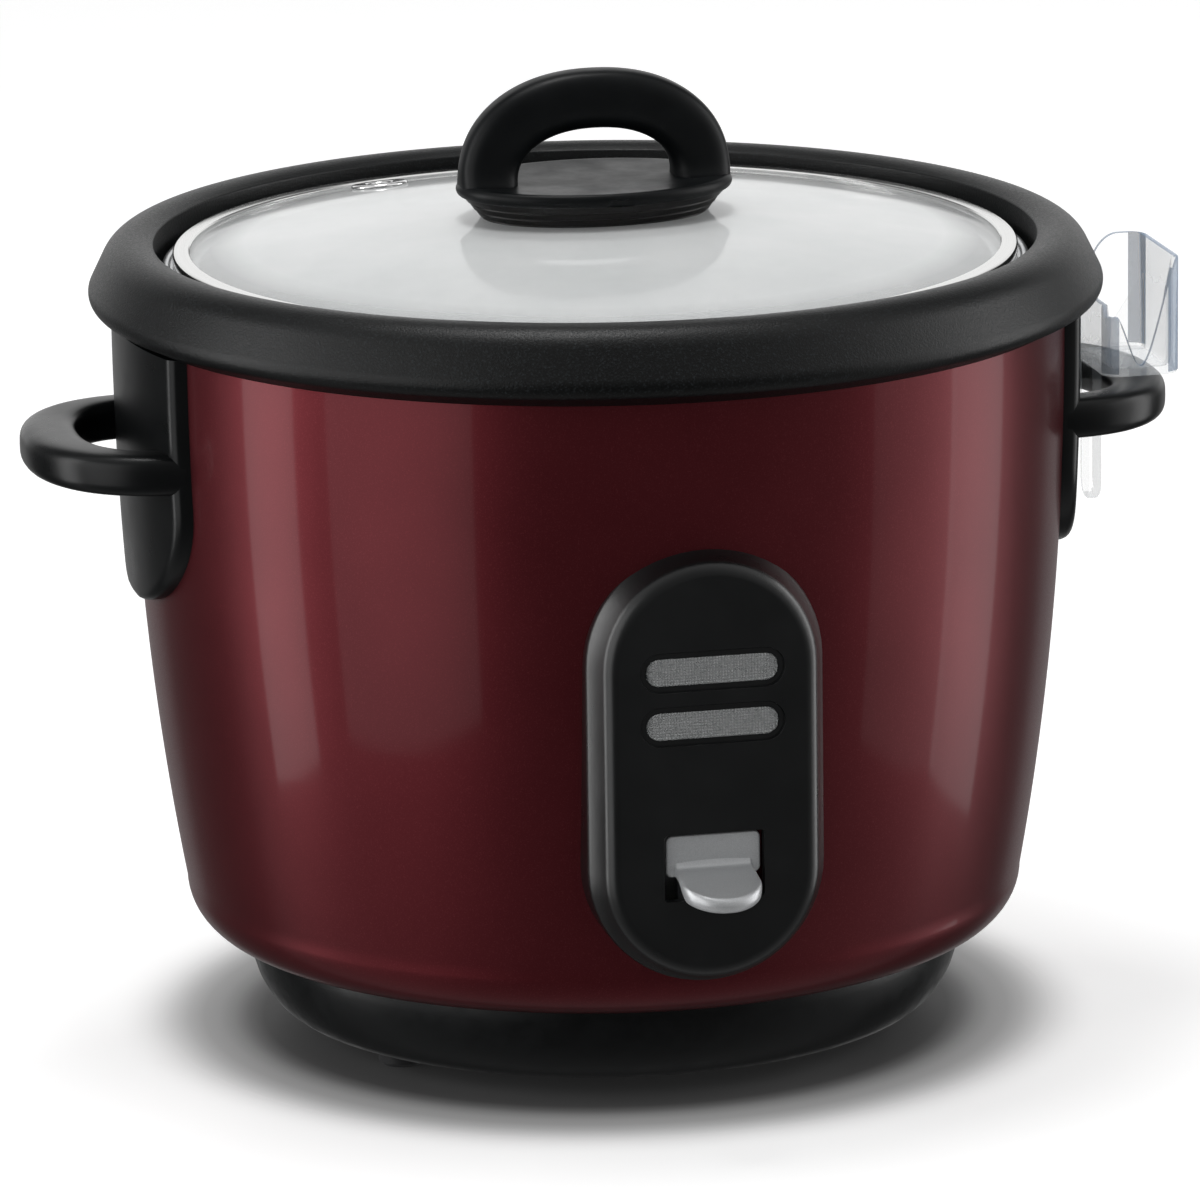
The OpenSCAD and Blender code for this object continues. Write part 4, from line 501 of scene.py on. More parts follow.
def handle_loop(side):
    """The loop on one side: a squared round section carried round a half ellipse, from the rear root
    to the front root, between an inner and an outer curve."""
    centre_x = SHELL_TOP_R - 0.006
    reach_out = SHELL_TOP_R + HANDLE_REACH - centre_x
    reach_in = reach_out - HANDLE_BAR_END
    along = np.linspace(0.5 * np.pi, -0.5 * np.pi, 97)[:, None]
    section = np.linspace(0.0, 2.0 * np.pi, 40, endpoint=False)[None, :]
    out_x, out_y = squared_round(along, 2.25)
    in_x, in_y = squared_round(along, 2.5)
    outer_x, outer_y = centre_x + reach_out * out_x, HANDLE_HALF * out_y
    inner_x, inner_y = centre_x + reach_in * in_x, (HANDLE_HALF - HANDLE_BAR_ROOT) * in_y
    p, q = squared_round(section, HANDLE_SECTION_POWER)
    x = (inner_x + outer_x) / 2 + (outer_x - inner_x) / 2 * p
    y = (inner_y + outer_y) / 2 + (outer_y - inner_y) / 2 * p
    z = HANDLE_Z + HANDLE_BAR_H / 2 * q + 0.0 * x
    return skin(np.stack([side * x, y, z], axis=-1), round_columns=True, ends=True)


plain_black = satin_black("satin_black", 0.20)
for side, name in ((1, "right_handle"), (-1, "left_handle")):
    made_piece(name + "_moulding", [handle_plate(side), handle_loop(side)],
               plain_black, "housing", [name])

# --- Control panel ---------------------------------------------------------------
# A long satin black moulding with half-round ends that stands on the shell, screwed on from behind.
# Its flat face has two pill-shaped lamp windows in shallow recesses and the lever's slot.

panel_low, panel_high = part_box("control_panel")
PANEL_Y = -panel_low[1]
PANEL_SIDE = panel_high[0]
PANEL_SHOULDER_Y = PANEL_Y - 0.009
PANEL_FACE_HALF = 0.0275
PANEL_ROUND = 0.0040
PANEL_LOW_Z = panel_low[2] + PANEL_SIDE
PANEL_HIGH_Z = panel_high[2] - PANEL_SIDE
PANEL_WALL = 0.0025
WINDOW_W, WINDOW_H = 0.0334, 0.0068
WINDOW_ZS = {"keep_warm": SHELL_FOOT_Z + 0.0952, "cook": SHELL_FOOT_Z + 0.0815}
WINDOW_MARGIN = 0.0017
WINDOW_RECESS = 0.0008
SLOT_W = 0.0254
SLOT_LOW_Z, SLOT_HIGH_Z = SHELL_FOOT_Z + 0.0368, SHELL_FOOT_Z + 0.0538


def long_outline(half, low_z, high_z, steps=28):
    """Points round an upright slot of a half width, with half-round ends about two heights."""
    lower = arc(0.0, low_z, half, half, 180, 360, steps)
    upper = arc(0.0, high_z, half, half, 0, 180, steps)
    return np.concatenate([lower, upper])


def pill_outline(width, height, z, steps=14):
    """Points round a level slot with half-round ends."""
    reach = (width - height) / 2
    right = arc(reach, z, height / 2, height / 2, -90, 90, steps)
    left = arc(-reach, z, height / 2, height / 2, 90, 270, steps)
    return np.concatenate([right, left])


def box_outline(width, low_z, high_z, corner, steps=4):
    """Points round a rectangle with rounded corners."""
    x = width / 2 - corner
    return np.concatenate([
        arc(x, low_z + corner, corner, corner, -90, 0, steps), arc(x, high_z - corner, corner, corner, 0, 90, steps),
        arc(-x, high_z - corner, corner, corner, 90, 180, steps),
        arc(-x, low_z + corner, corner, corner, 180, 270, steps)])


def upright(outline, y):
    """An outline of (x, z) stood up at a distance in front of the axis."""
    return np.column_stack([outline[:, 0], -y + 0.0 * outline[:, 0], outline[:, 1]])


def encloses(outline, points):
    """Which points lie inside an outline: those with an odd number of its sides to their right."""
    x0, y0 = outline.T[:, :, None]
    x1, y1 = np.roll(outline, -1, axis=0).T[:, :, None]
    px, py = points.T[:, None, :]
    crosses = (y0 > py) != (y1 > py)
    rise = np.where(y1 == y0, 1.0, y1 - y0)
    return np.sum(crosses & (px < x0 + (x1 - x0) * (py - y0) / rise), axis=0) % 2 == 1


def flat_face(y, outlines):
    """A flat face at a distance in front of the axis, inside the first outline and outside the others."""
    points = np.concatenate(outlines)
    starts = np.cumsum([0] + [len(outline) for outline in outlines])
    edges = [(int(start + i), int(start + (i + 1) % len(outline)))
             for start, outline in zip(starts, outlines) for i in range(len(outline))]
    made, _, triangles, _, _, _ = delaunay_2d_cdt([Vector(p) for p in points], edges, [], 0, 1e-7)
    made, triangles = np.array([tuple(p) for p in made]), np.array([list(t) for t in triangles])
    middles = made[triangles].mean(axis=1)
    kept = encloses(outlines[0], middles)
    for hole in outlines[1:]:
        kept &= ~encloses(hole, middles)
    return upright(made, y), triangles[kept].tolist()


def panel_side_ring(half, y):
    """The panel's outline at a half width and a distance in front of the axis."""
    return upright(long_outline(half, PANEL_LOW_Z, PANEL_HIGH_Z), y)


def panel_root_ring(half, sunk):
    """The panel's outline where it meets the shell, sunk a little into it."""
    outline = long_outline(half, PANEL_LOW_Z, PANEL_HIGH_Z)
    y = np.sqrt(np.maximum(side_radius(outline[:, 1]) - sunk, 0.0) ** 2 - outline[:, 0] ** 2)
    return np.column_stack([outline[:, 0], -y, outline[:, 1]])


side_line = np.concatenate([
    [[PANEL_SIDE, PANEL_SHOULDER_Y - 0.0012]],
    arc(PANEL_SIDE - 0.0012, PANEL_SHOULDER_Y - 0.0012, 0.0012, 0.0024, 12, 60, 5),
    arc(PANEL_FACE_HALF - PANEL_ROUND, PANEL_Y - PANEL_ROUND, PANEL_ROUND, PANEL_ROUND, 18, 90, 14)])
face_half = PANEL_FACE_HALF - PANEL_ROUND
window_outlines = [pill_outline(WINDOW_W + 2 * WINDOW_MARGIN, WINDOW_H + 2 * WINDOW_MARGIN, z)
                   for z in WINDOW_ZS.values()]
slot_outline = box_outline(SLOT_W, SLOT_LOW_Z, SLOT_HIGH_Z, 0.0008)
panel_skins = [
    skin(np.stack([panel_root_ring(PANEL_SIDE, 0.0006)] + [panel_side_ring(half, y) for half, y in side_line]),
         round_columns=True),
    flat_face(PANEL_Y, [long_outline(face_half, PANEL_LOW_Z, PANEL_HIGH_Z)] + window_outlines + [slot_outline]),
    skin(np.stack([upright(slot_outline, PANEL_Y - depth) for depth in (0.0, 0.0004, PANEL_WALL)]),
         round_columns=True),
    skin(np.stack([panel_root_ring(PANEL_SIDE - PANEL_WALL, 0.0006),
                   panel_side_ring(PANEL_SIDE - PANEL_WALL, PANEL_SHOULDER_Y - 0.002),
                   panel_side_ring(face_half, PANEL_Y - PANEL_WALL)]), round_columns=True),
    skin(np.stack([panel_root_ring(PANEL_SIDE, 0.0006), panel_root_ring(PANEL_SIDE - PANEL_WALL, 0.0006)]),
         round_columns=True),
]
inner_holes = []
for z in WINDOW_ZS.values():
    wide = [pill_outline(WINDOW_W + 2 * WINDOW_MARGIN - 2 * inset, WINDOW_H + 2 * WINDOW_MARGIN - 2 * inset, z)
            for inset in (0.0, 0.0002)]
    narrow = pill_outline(WINDOW_W + 0.0003, WINDOW_H + 0.0003, z)
    panel_skins.append(skin(np.stack([
        upright(wide[0], PANEL_Y), upright(wide[1], PANEL_Y - 0.0003), upright(wide[1], PANEL_Y - WINDOW_RECESS),
        upright(narrow, PANEL_Y - WINDOW_RECESS), upright(narrow, PANEL_Y - PANEL_WALL)]), round_columns=True))
    inner_holes.append(narrow)
panel_skins.append(flat_face(PANEL_Y - PANEL_WALL,
                             [long_outline(face_half, PANEL_LOW_Z, PANEL_HIGH_Z)] + inner_holes + [slot_outline]))
made_piece("panel_moulding", panel_skins, satin_black("panel_black", 0.46), "housing", ["control_panel"])

# --- Lamp windows -----------------------------------------------------------------
# Clear moulded lenses, pressed in from behind. Small pyramids over the whole front spread the light
# of the neon lamps behind them.

PYRAMID_PITCH = 0.00076
PYRAMID_HEIGHT = 0.00034
LENS_FLANGE = 0.0011
LENS_FLANGE_T = 0.0015


def ribbed_clear():
    """Clear, slightly milky plastic, a little rough inside."""
    finish, shader_nodes, links, shader = node_material("ribbed_clear")
    cloud = speckle(shader_nodes, links, 0.0015, 3.0)
    links.new(two_tone(shader_nodes, links, cloud, (0.74, 0.77, 0.77), (0.90, 0.92, 0.92)),
              shader.inputs["Base Color"])
    links.new(graded(shader_nodes, links, cloud, 0.05, 0.16), shader.inputs["Roughness"])
    shader.inputs["Transmission Weight"].default_value = 0.72
    shader.inputs["IOR"].default_value = 1.49
    return finish


def lens_front(z, y):
    """The front of a lens: a grid squeezed into the pill outline, in which every other point of every
    other row stands forward by the pyramid height, making a pyramid of the four quads round it, but
    not where the outline is too narrow."""
    half_h = WINDOW_H / 2
    reach = WINDOW_W / 2 - half_h
    x = np.linspace(-WINDOW_W / 2, WINDOW_W / 2, 2 * 44 + 1)[None, :]
    up_share = np.linspace(-1.0, 1.0, 2 * 9 + 1)[:, None]
    past = np.maximum(np.abs(x) - reach, 0.0)
    height = np.sqrt(np.maximum(half_h ** 2 - past ** 2, 0.0))
    grid_z = up_share * height
    column = np.arange(x.shape[1])[None, :] % 2
    row = np.arange(up_share.shape[0])[:, None] % 2
    peak = PYRAMID_HEIGHT * (column & row) * (height > 0.0008)
    return np.stack([x + 0.0 * grid_z, -(y + peak), z + grid_z], axis=-1)


clear_ribs = ribbed_clear()
for name, z in WINDOW_ZS.items():
    front_y = PANEL_Y - WINDOW_RECESS / 2 - PYRAMID_HEIGHT
    front = lens_front(z, front_y)
    border = np.concatenate([front[0], front[1:, -1], front[-1, -2::-1], front[-2:0:-1, 0]])
    behind = border.copy()
    behind[:, 1] = -(PANEL_Y - PANEL_WALL)
    flange = pill_outline(WINDOW_W + 2 * LENS_FLANGE, WINDOW_H + 2 * LENS_FLANGE, z)
    made_piece(name + "_window", [
        skin(front), skin(np.stack([border, behind]), round_columns=True),
        (behind, [list(range(len(behind)))]),
        skin(np.stack([upright(flange, PANEL_Y - PANEL_WALL), upright(flange, PANEL_Y - PANEL_WALL - LENS_FLANGE_T)]),
             round_columns=True, ends=True)],
        clear_ribs, "housing", [name + "_lens"], crease=20.0)

# --- Cook lever --------------------------------------------------------------------
# A bent steel strip with a satin silver plastic paddle moulded on its front end. The strip goes
# through the slot, down behind the shell and in under the liner, where it rocks on a pin.

lever_low, lever_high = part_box("switch_lever")
LEVER_PLATE_W = 0.024
LEVER_PLATE_TOP_Z = lever_high[2]
LEVER_T = 0.0016
LEVER_PLATE_FRONT_Y = PANEL_Y - 0.0016
PADDLE_W = 0.020
PADDLE_Z = SHELL_FOOT_Z + 0.0448
PADDLE_TIP_Y = -lever_low[1]
PADDLE_DROOP = 0.0034
PADDLE_T = 0.0022
PADDLE_CORNER = 0.0095
PADDLE_FILLET = 0.0020
LIP_T = 0.0042
ARM_W = 0.012
LINER_Z = SHELL_FOOT_Z + SHELL_WALL + 0.016
PIVOT_Y, PIVOT_Z = 0.058, LINER_Z - 0.008
PIVOT_R, PIVOT_BOSS_R, PIVOT_HALF = 0.00205, 0.0040, 0.0075
FORK_GAP, FORK_ROOT_Y, FORK_TIP_Y = 0.0030, 0.0045, -0.0070
FINGER_X, FINGER_Y = 0.012, 0.033


def satin_silver():
    """Silver-lacquered plastic: fine metal flake under a satin coat."""
    finish, shader_nodes, links, shader = node_material("satin_silver")
    flake = speckle(shader_nodes, links, 0.00018, 2.0)
    links.new(two_tone(shader_nodes, links, flake, (0.42, 0.43, 0.44), (0.56, 0.57, 0.58)),
              shader.inputs["Base Color"])
    links.new(graded(shader_nodes, links, flake, 0.34, 0.44), shader.inputs["Roughness"])
    shader.inputs["Metallic"].default_value = 0.45
    relief(shader_nodes, links, shader, flake, 0.000006)
    return finish


def slab(outline, back_y, front_y, edge):
    """A flat plate between two distances in front of the axis, its front and back edges rounded by
    shrinking the outline towards its middle over the edge size."""
    middle = outline.mean(axis=0)
    reach = np.abs(outline - middle).max(axis=0)

    def shrunk(amount):
        return middle + (outline - middle) * (1.0 - amount / reach)
    turn = np.linspace(0.0, 0.5 * np.pi, 5)
    rings = [upright(shrunk(edge * (1.0 - math.sin(a))), back_y + edge * (1.0 - math.cos(a))) for a in turn]
    rings += [upright(shrunk(edge * (1.0 - math.cos(a))), front_y - edge * (1.0 - math.sin(a))) for a in turn]
    return skin(np.stack(rings), round_columns=True, ends=True)


def paddle():
    """The paddle: rows across its width, each a closed section of depth and height. The top runs from
    a fillet at the plate down to the lip, and the reach of a row follows the rounded corners."""
    half = PADDLE_W / 2
    x = half * np.sin(np.linspace(-0.5, 0.5, 49) * np.pi)[:, None]
    past = np.clip((np.abs(x) - (half - PADDLE_CORNER)) / PADDLE_CORNER, 0.0, 1.0)
    tip = PADDLE_TIP_Y - PADDLE_CORNER * (1.0 - np.sqrt(1.0 - past ** 2))
    thin = np.sqrt(np.clip(1.0 - np.clip((np.abs(x) - (half - 0.0010)) / 0.0010, 0.0, 1.0) ** 2, 0.0, 1.0))
    lip = LIP_T / 2
    start_y = LEVER_PLATE_FRONT_Y - 0.0008
    s = np.linspace(0.0, 1.0, 22)[None, :] ** 1.3
    run = tip - lip - start_y
    y_line = start_y + s * run
    root = np.clip((y_line - start_y - 0.0008) / PADDLE_FILLET, 0.0, 1.0)
    fillet = PADDLE_FILLET * (1.0 - np.sqrt(1.0 - (1.0 - root) ** 2))
    droop = PADDLE_DROOP * np.clip((y_line - start_y) / (PADDLE_TIP_Y - lip - start_y), 0.0, 1.0) ** 1.6
    top = PADDLE_Z - droop + fillet
    swell = np.clip((s - 0.70) / 0.30, 0.0, 1.0) ** 2 * (3.0 - 2.0 * np.clip((s - 0.70) / 0.30, 0.0, 1.0))
    thickness = PADDLE_T + (LIP_T - PADDLE_T) * swell
    bottom = PADDLE_Z - droop - thickness
    turn = np.linspace(0.5 * np.pi, -0.5 * np.pi, 14)[None, 1:-1]
    lip_z = PADDLE_Z - droop[:, -1:] - lip
    y = np.concatenate([y_line, tip - lip + lip * np.cos(turn), y_line[:, ::-1]], axis=1)
    z = np.concatenate([top + 0.0 * x, lip_z + lip * np.sin(turn) + 0.0 * x, bottom[:, ::-1] + 0.0 * x], axis=1)
    middle = PADDLE_Z - PADDLE_T / 2 - np.concatenate(
        [droop, droop[:, -1:] + 0.0 * turn, droop[:, ::-1]], axis=1)
    z = middle + (z - middle) * thin
    return skin(np.stack([x + 0.0 * y, -y, z], axis=-1), round_columns=True, ends=True)


def strip(outline, x, half):
    """A bar: an outline of (distance forward, height) carried a half width to each side of x."""
    return skin(np.stack([upright(outline, 0.0)[:, [0, 0, 2]] * [0.0, -1.0, 1.0] + [x + reach, 0.0, 0.0]
                          for reach in (-half, half)]), round_columns=True, ends=True)


plate_back_y = LEVER_PLATE_FRONT_Y - LEVER_T
strip_y = LINER_R + 0.004
arm_front_y = LINER_R - 0.0083 + 0.002
half_t = LEVER_T / 2
arm_top_z, arm_low_z = PIVOT_Z + half_t, PIVOT_Z - half_t
arm_line = np.array([
    [plate_back_y + half_t, PADDLE_Z], [strip_y - half_t, PADDLE_Z], [strip_y - half_t, LINER_Z + 0.012],
    [arm_front_y - half_t, arm_top_z], [FORK_ROOT_Y, arm_top_z], [FORK_ROOT_Y, arm_low_z],
    [arm_front_y + half_t, arm_low_z], [strip_y + half_t, LINER_Z + 0.012],
    [strip_y + half_t, PADDLE_Z - LEVER_T], [plate_back_y + half_t, PADDLE_Z - LEVER_T]])
lever_skins = [strip(arm_line, 0.0, ARM_W / 2)]

# the arm's end is a fork round the plunger's rod, and a finger beside the pivot presses the switch
fork_line = np.array([[FORK_ROOT_Y, arm_low_z], [FORK_ROOT_Y, arm_top_z],
                      [FORK_TIP_Y, arm_top_z], [FORK_TIP_Y, arm_low_z]])
for side in (-1, 1):
    lever_skins.append(strip(fork_line, side * (ARM_W / 2 + FORK_GAP) / 2, (ARM_W / 2 - FORK_GAP) / 2))
finger_line = np.array([[FINGER_Y - 0.001, arm_low_z], [FINGER_Y + 0.001, arm_low_z],
                        [FINGER_Y + 0.001, arm_top_z], [FINGER_Y - 0.001, arm_top_z]])
lever_skins.append(strip(finger_line, (FINGER_X + ARM_W / 2) / 2, (FINGER_X - ARM_W / 2) / 2))
tube = turned(np.array([[PIVOT_R, -PIVOT_HALF], [PIVOT_BOSS_R, -PIVOT_HALF],
                        [PIVOT_BOSS_R, PIVOT_HALF], [PIVOT_R, PIVOT_HALF]]), 64)
lever_skins.append(skin(np.stack([tube[..., 2], tube[..., 0] - PIVOT_Y, tube[..., 1] + PIVOT_Z], axis=-1),
                        round_rows=True, round_columns=True))
plate_outline = box_outline(LEVER_PLATE_W, PADDLE_Z - PADDLE_T, LEVER_PLATE_TOP_Z, 0.0016, 8)
lever_skins += [slab(plate_outline, plate_back_y, LEVER_PLATE_FRONT_Y, 0.0005), paddle()]
made_piece("cook_lever", lever_skins, satin_silver(), "lever", ["switch_lever"])

# --- Materials of the inner parts ---------------------------------------------------
# The pieces that the shell and the base hide keep the exact meshes of their solids. Each gets the
# finish of its real material and smooth shading over its facets, and some of them a fine chamfer.


def smooth_over_facets():
    """A modifier group that joins a solid's loose triangles and shades it smooth, but for edges
    where two faces meet at more than thirty degrees."""
    group = bpy.data.node_groups.new("smooth_over_facets", "GeometryNodeTree")
    group.interface.new_socket("Geometry", in_out="INPUT", socket_type="NodeSocketGeometry")
    group.interface.new_socket("Geometry", in_out="OUTPUT", socket_type="NodeSocketGeometry")
    start = group.nodes.new("NodeGroupInput")
    joined = group.nodes.new("GeometryNodeMergeByDistance")
    joined.inputs["Distance"].default_value = 2e-6
    all_smooth = group.nodes.new("GeometryNodeSetShadeSmooth")
    sharp = group.nodes.new("GeometryNodeSetShadeSmooth")
    sharp.domain = "EDGE"
    sharp.inputs["Shade Smooth"].default_value = False
    angle = group.nodes.new("GeometryNodeInputMeshEdgeAngle")
    steep = group.nodes.new("FunctionNodeCompare")
    steep.data_type = "FLOAT"
    steep.operation = "GREATER_THAN"
    steep.inputs[1].default_value = math.radians(30.0)
    finish = group.nodes.new("NodeGroupOutput")
    group.links.new(start.outputs[0], joined.inputs["Geometry"])
    group.links.new(joined.outputs["Geometry"], all_smooth.inputs["Geometry"])
    group.links.new(all_smooth.outputs["Geometry"], sharp.inputs["Geometry"])
    group.links.new(angle.outputs["Unsigned Angle"], steep.inputs[0])
    group.links.new(steep.outputs["Result"], sharp.inputs["Selection"])
    group.links.new(sharp.outputs["Geometry"], finish.inputs[0])
    return group


SMOOTH_OVER_FACETS = smooth_over_facets()


def finish_node(name, material, chamfer=0.0):
    """Gives a solid of the frame its finish, smooth shading and, where it is asked, fine chamfers."""
    solid = nodes[name]
    solid.data.materials.clear()
    solid.data.materials.append(material)
    if chamfer:
        joined = solid.modifiers.new("joined", "WELD")
        joined.merge_threshold = 2e-6
        edge = solid.modifiers.new("chamfer", "BEVEL")
        edge.width = chamfer
        edge.segments = 2
        edge.limit_method = "ANGLE"
        edge.angle_limit = math.radians(40.0)
    shaded = solid.modifiers.new("smooth", "NODES")
    shaded.node_group = SMOOTH_OVER_FACETS


def rings_on_metal(shader_nodes, links, pitch):
    """Turning marks: a noise that changes only with the distance from the axis and the height."""
    place = shader_nodes.new("ShaderNodeTexCoord")
    parts = shader_nodes.new("ShaderNodeSeparateXYZ")
    links.new(place.outputs["Object"], parts.inputs["Vector"])
    flat = shader_nodes.new("ShaderNodeCombineXYZ")
    links.new(parts.outputs["X"], flat.inputs["X"])
    links.new(parts.outputs["Y"], flat.inputs["Y"])
    radius = shader_nodes.new("ShaderNodeVectorMath")
    radius.operation = "LENGTH"
    links.new(flat.outputs["Vector"], radius.inputs[0])
    polar = shader_nodes.new("ShaderNodeCombineXYZ")
    links.new(radius.outputs["Value"], polar.inputs["X"])
    links.new(parts.outputs["Z"], polar.inputs["Y"])
    noise = shader_nodes.new("ShaderNodeTexNoise")
    noise.inputs["Scale"].default_value = 1.0 / pitch
    noise.inputs["Detail"].default_value = 3.0
    links.new(polar.outputs["Vector"], noise.inputs["Vector"])
    return noise.outputs["Fac"]


def turned_metal(name, dark, light, pitch, roughness, depth):
    """Metal spun or machined in the round, with fine rings in its tone, its gloss and its relief."""
    finish, shader_nodes, links, shader = node_material(name)
    marks = rings_on_metal(shader_nodes, links, pitch)
    links.new(two_tone(shader_nodes, links, marks, dark, light), shader.inputs["Base Color"])
    links.new(graded(shader_nodes, links, marks, roughness - 0.06, roughness + 0.06), shader.inputs["Roughness"])
    shader.inputs["Metallic"].default_value = 1.0
    relief(shader_nodes, links, shader, marks, depth)
    return finish


def clouded(name, dark, light, pitch, roughness, depth, metallic=0.0, specular=0.4):
    """A plain material whose tone and gloss drift in soft clouds, with a fine relief."""
    finish, shader_nodes, links, shader = node_material(name)
    cloud = speckle(shader_nodes, links, pitch, 4.0)
    fine = speckle(shader_nodes, links, pitch / 9.0, 2.0)
    links.new(two_tone(shader_nodes, links, cloud, dark, light), shader.inputs["Base Color"])
    links.new(graded(shader_nodes, links, cloud, roughness - 0.07, roughness + 0.07), shader.inputs["Roughness"])
    shader.inputs["Metallic"].default_value = metallic
    shader.inputs["Specular IOR Level"].default_value = specular
    relief(shader_nodes, links, shader, fine, depth)
    return finish


# --- Base ----------------------------------------------------------------------------
# A black moulded bowl with cooling slots in its floor and a bay for the power inlet. Four long
# screws pull it up against the shell, and rubber feet are plugged into its floor.

BASE_CHAMFER = 0.0004
base_black = clouded("base_black", (0.0030, 0.0034, 0.0036), (0.0050, 0.0056, 0.0060), 0.006, 0.38, 0.00002,
                     specular=0.16)
foot_rubber = clouded("foot_rubber", (0.010, 0.010, 0.011), (0.020, 0.020, 0.021), 0.003, 0.75, 0.00003)
zinc = clouded("zinc_plate", (0.50, 0.51, 0.52), (0.66, 0.67, 0.68), 0.004, 0.30, 0.000004, metallic=1.0)
finish_node("base_pan", base_black, BASE_CHAMFER)
finish_node("feet", foot_rubber, 0.0005)
finish_node("base_screws", zinc)
finish_node("handle_screws", zinc)
finish_node("panel_screws", zinc)

# --- Liner and heating plate -------------------------------------------------------------
# The liner is a spun aluminium can that hangs from the ring's ledge. The cast heating plate stands
# on spacers above its floor, with the tubular element cast into its underside.

spun_aluminium = turned_metal("spun_aluminium", (0.60, 0.61, 0.62), (0.74, 0.75, 0.76), 0.0006, 0.34, 0.000006)
machined_aluminium = turned_metal("machined_aluminium", (0.55, 0.56, 0.57), (0.72, 0.73, 0.74), 0.0009, 0.26,
                                  0.000012)
element_sheath = clouded("element_sheath", (0.14, 0.13, 0.13), (0.26, 0.24, 0.22), 0.005, 0.38, 0.000005,
                         metallic=0.9)
finish_node("inner_liner", spun_aluminium, 0.0002)
finish_node("heating_plate", machined_aluminium, 0.0003)
finish_node("heating_element", element_sheath)
finish_node("plate_standoffs", zinc, 0.0002)
finish_node("plate_screws", zinc)

# --- Temperature sensor and magnet ---------------------------------------------------------
# A sprung aluminium cap feels the pot's floor. Under it a ferrite disc holds the lever's magnet
# until the pot is too hot, and then lets it drop.

spring_steel = clouded("spring_steel", (0.42, 0.43, 0.45), (0.58, 0.59, 0.61), 0.002, 0.24, 0.000002, metallic=1.0)
soft_ferrite = clouded("soft_ferrite", (0.030, 0.031, 0.034), (0.060, 0.061, 0.066), 0.0015, 0.55, 0.000015)
magnet_nickel = clouded("magnet_nickel", (0.46, 0.45, 0.43), (0.60, 0.58, 0.55), 0.003, 0.22, 0.000003,
                        metallic=1.0)
finish_node("thermostat_cup", zinc, 0.0002)
finish_node("sensor_spring", spring_steel)
finish_node("sensor_cap", machined_aluminium, 0.0002)
finish_node("sensor_ferrite", soft_ferrite, 0.0002)
finish_node("magnet_plunger", magnet_nickel, 0.0002)

# --- Lever bracket and switch ----------------------------------------------------------------
# A folded plate under the liner carries the lever's pin between two ears, and beside it the black
# switch whose leaf the lever presses.

switch_black = clouded("switch_black", (0.010, 0.010, 0.011), (0.018, 0.018, 0.020), 0.003, 0.45, 0.00001)
finish_node("lever_bracket", zinc, 0.0002)
finish_node("lever_pin", spring_steel, 0.0002)
finish_node("microswitch", switch_black, 0.0002)

# --- Lamps, safety parts and wiring -----------------------------------------------------------
# Two neon lamps sit in clips on an ivory board behind the windows. A thermal fuse and a keep-warm
# thermostat rest under the liner, and sleeved wires join them to the switch and the inlet.

ivory = clouded("ivory_board", (0.62, 0.58, 0.48), (0.74, 0.70, 0.60), 0.004, 0.45, 0.00001)
fuse_white = clouded("fuse_sleeve", (0.66, 0.62, 0.54), (0.80, 0.77, 0.70), 0.002, 0.60, 0.00003)
phenolic = clouded("phenolic_brown", (0.060, 0.028, 0.014), (0.105, 0.052, 0.028), 0.002, 0.42, 0.00001)
wire_cover = clouded("wire_cover", (0.66, 0.66, 0.62), (0.80, 0.80, 0.76), 0.003, 0.50, 0.00001)
finish_node("lamp_holder", ivory)
finish_node("thermal_fuse", fuse_white, 0.0002)
finish_node("keep_warm_thermostat", phenolic, 0.0002)
finish_node("inner_wiring", wire_cover)


def neon_glass():
    """A small neon lamp: clear glass tinted by the orange gas and the grey electrodes in it."""
    finish, shader_nodes, links, shader = node_material("neon_glass")
    electrodes = speckle(shader_nodes, links, 0.004, 1.0, stretch=(0.2, 1.0, 1.0))
    links.new(two_tone(shader_nodes, links, electrodes, (0.42, 0.16, 0.07), (0.72, 0.60, 0.50), 0.40, 0.60),
              shader.inputs["Base Color"])
    shader.inputs["Roughness"].default_value = 0.06
    shader.inputs["Transmission Weight"].default_value = 0.35
    return finish


finish_node("indicator_lamps", neon_glass())

# --- Power inlet ----------------------------------------------------------------------------
# A black socket for a loose mains lead, let into the back of the base, with three flat brass pins.
# Two small screws hold its flange.

pin_brass = clouded("pin_brass", (0.62, 0.46, 0.20), (0.76, 0.60, 0.30), 0.002, 0.28, 0.000004, metallic=1.0)
inlet_black = clouded("inlet_black", (0.0045, 0.0046, 0.0050), (0.0080, 0.0082, 0.0088), 0.004, 0.38, 0.00001,
                      specular=0.2)
finish_node("power_inlet", inlet_black, 0.0003)
finish_node("inlet_pins", pin_brass, 0.0003)
finish_node("inlet_screws", zinc)

# --- Cooking pot --------------------------------------------------------------------------------
# A lift-out pot of spun aluminium with a flat rim, whose outer edge is rolled into a bead. It
# stands on the heating plate and its rim hangs just above the liner.

pot_low, pot_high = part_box("cooking_pot")
POT_WALL = 0.0015
POT_R = LINER_R - 0.0008 - 0.003
POT_DRAW = 0.003
POT_CORNER = 0.020
POT_RIM = 0.007
POT_BEAD_R = 0.0012
POT_Z = pot_low[2]
POT_RIM_Z = pot_high[2] - POT_BEAD_R - 0.0009


def pot_wall_line(inset):
    """The pot's section from its middle out to its wall, drawn in by a distance."""
    return np.concatenate([
        [[0.0, POT_Z + inset], [0.03, POT_Z + inset]],
        arc(POT_R - POT_DRAW - POT_CORNER, POT_Z + POT_CORNER, POT_CORNER - inset, POT_CORNER - inset, -90, 0, 18)])


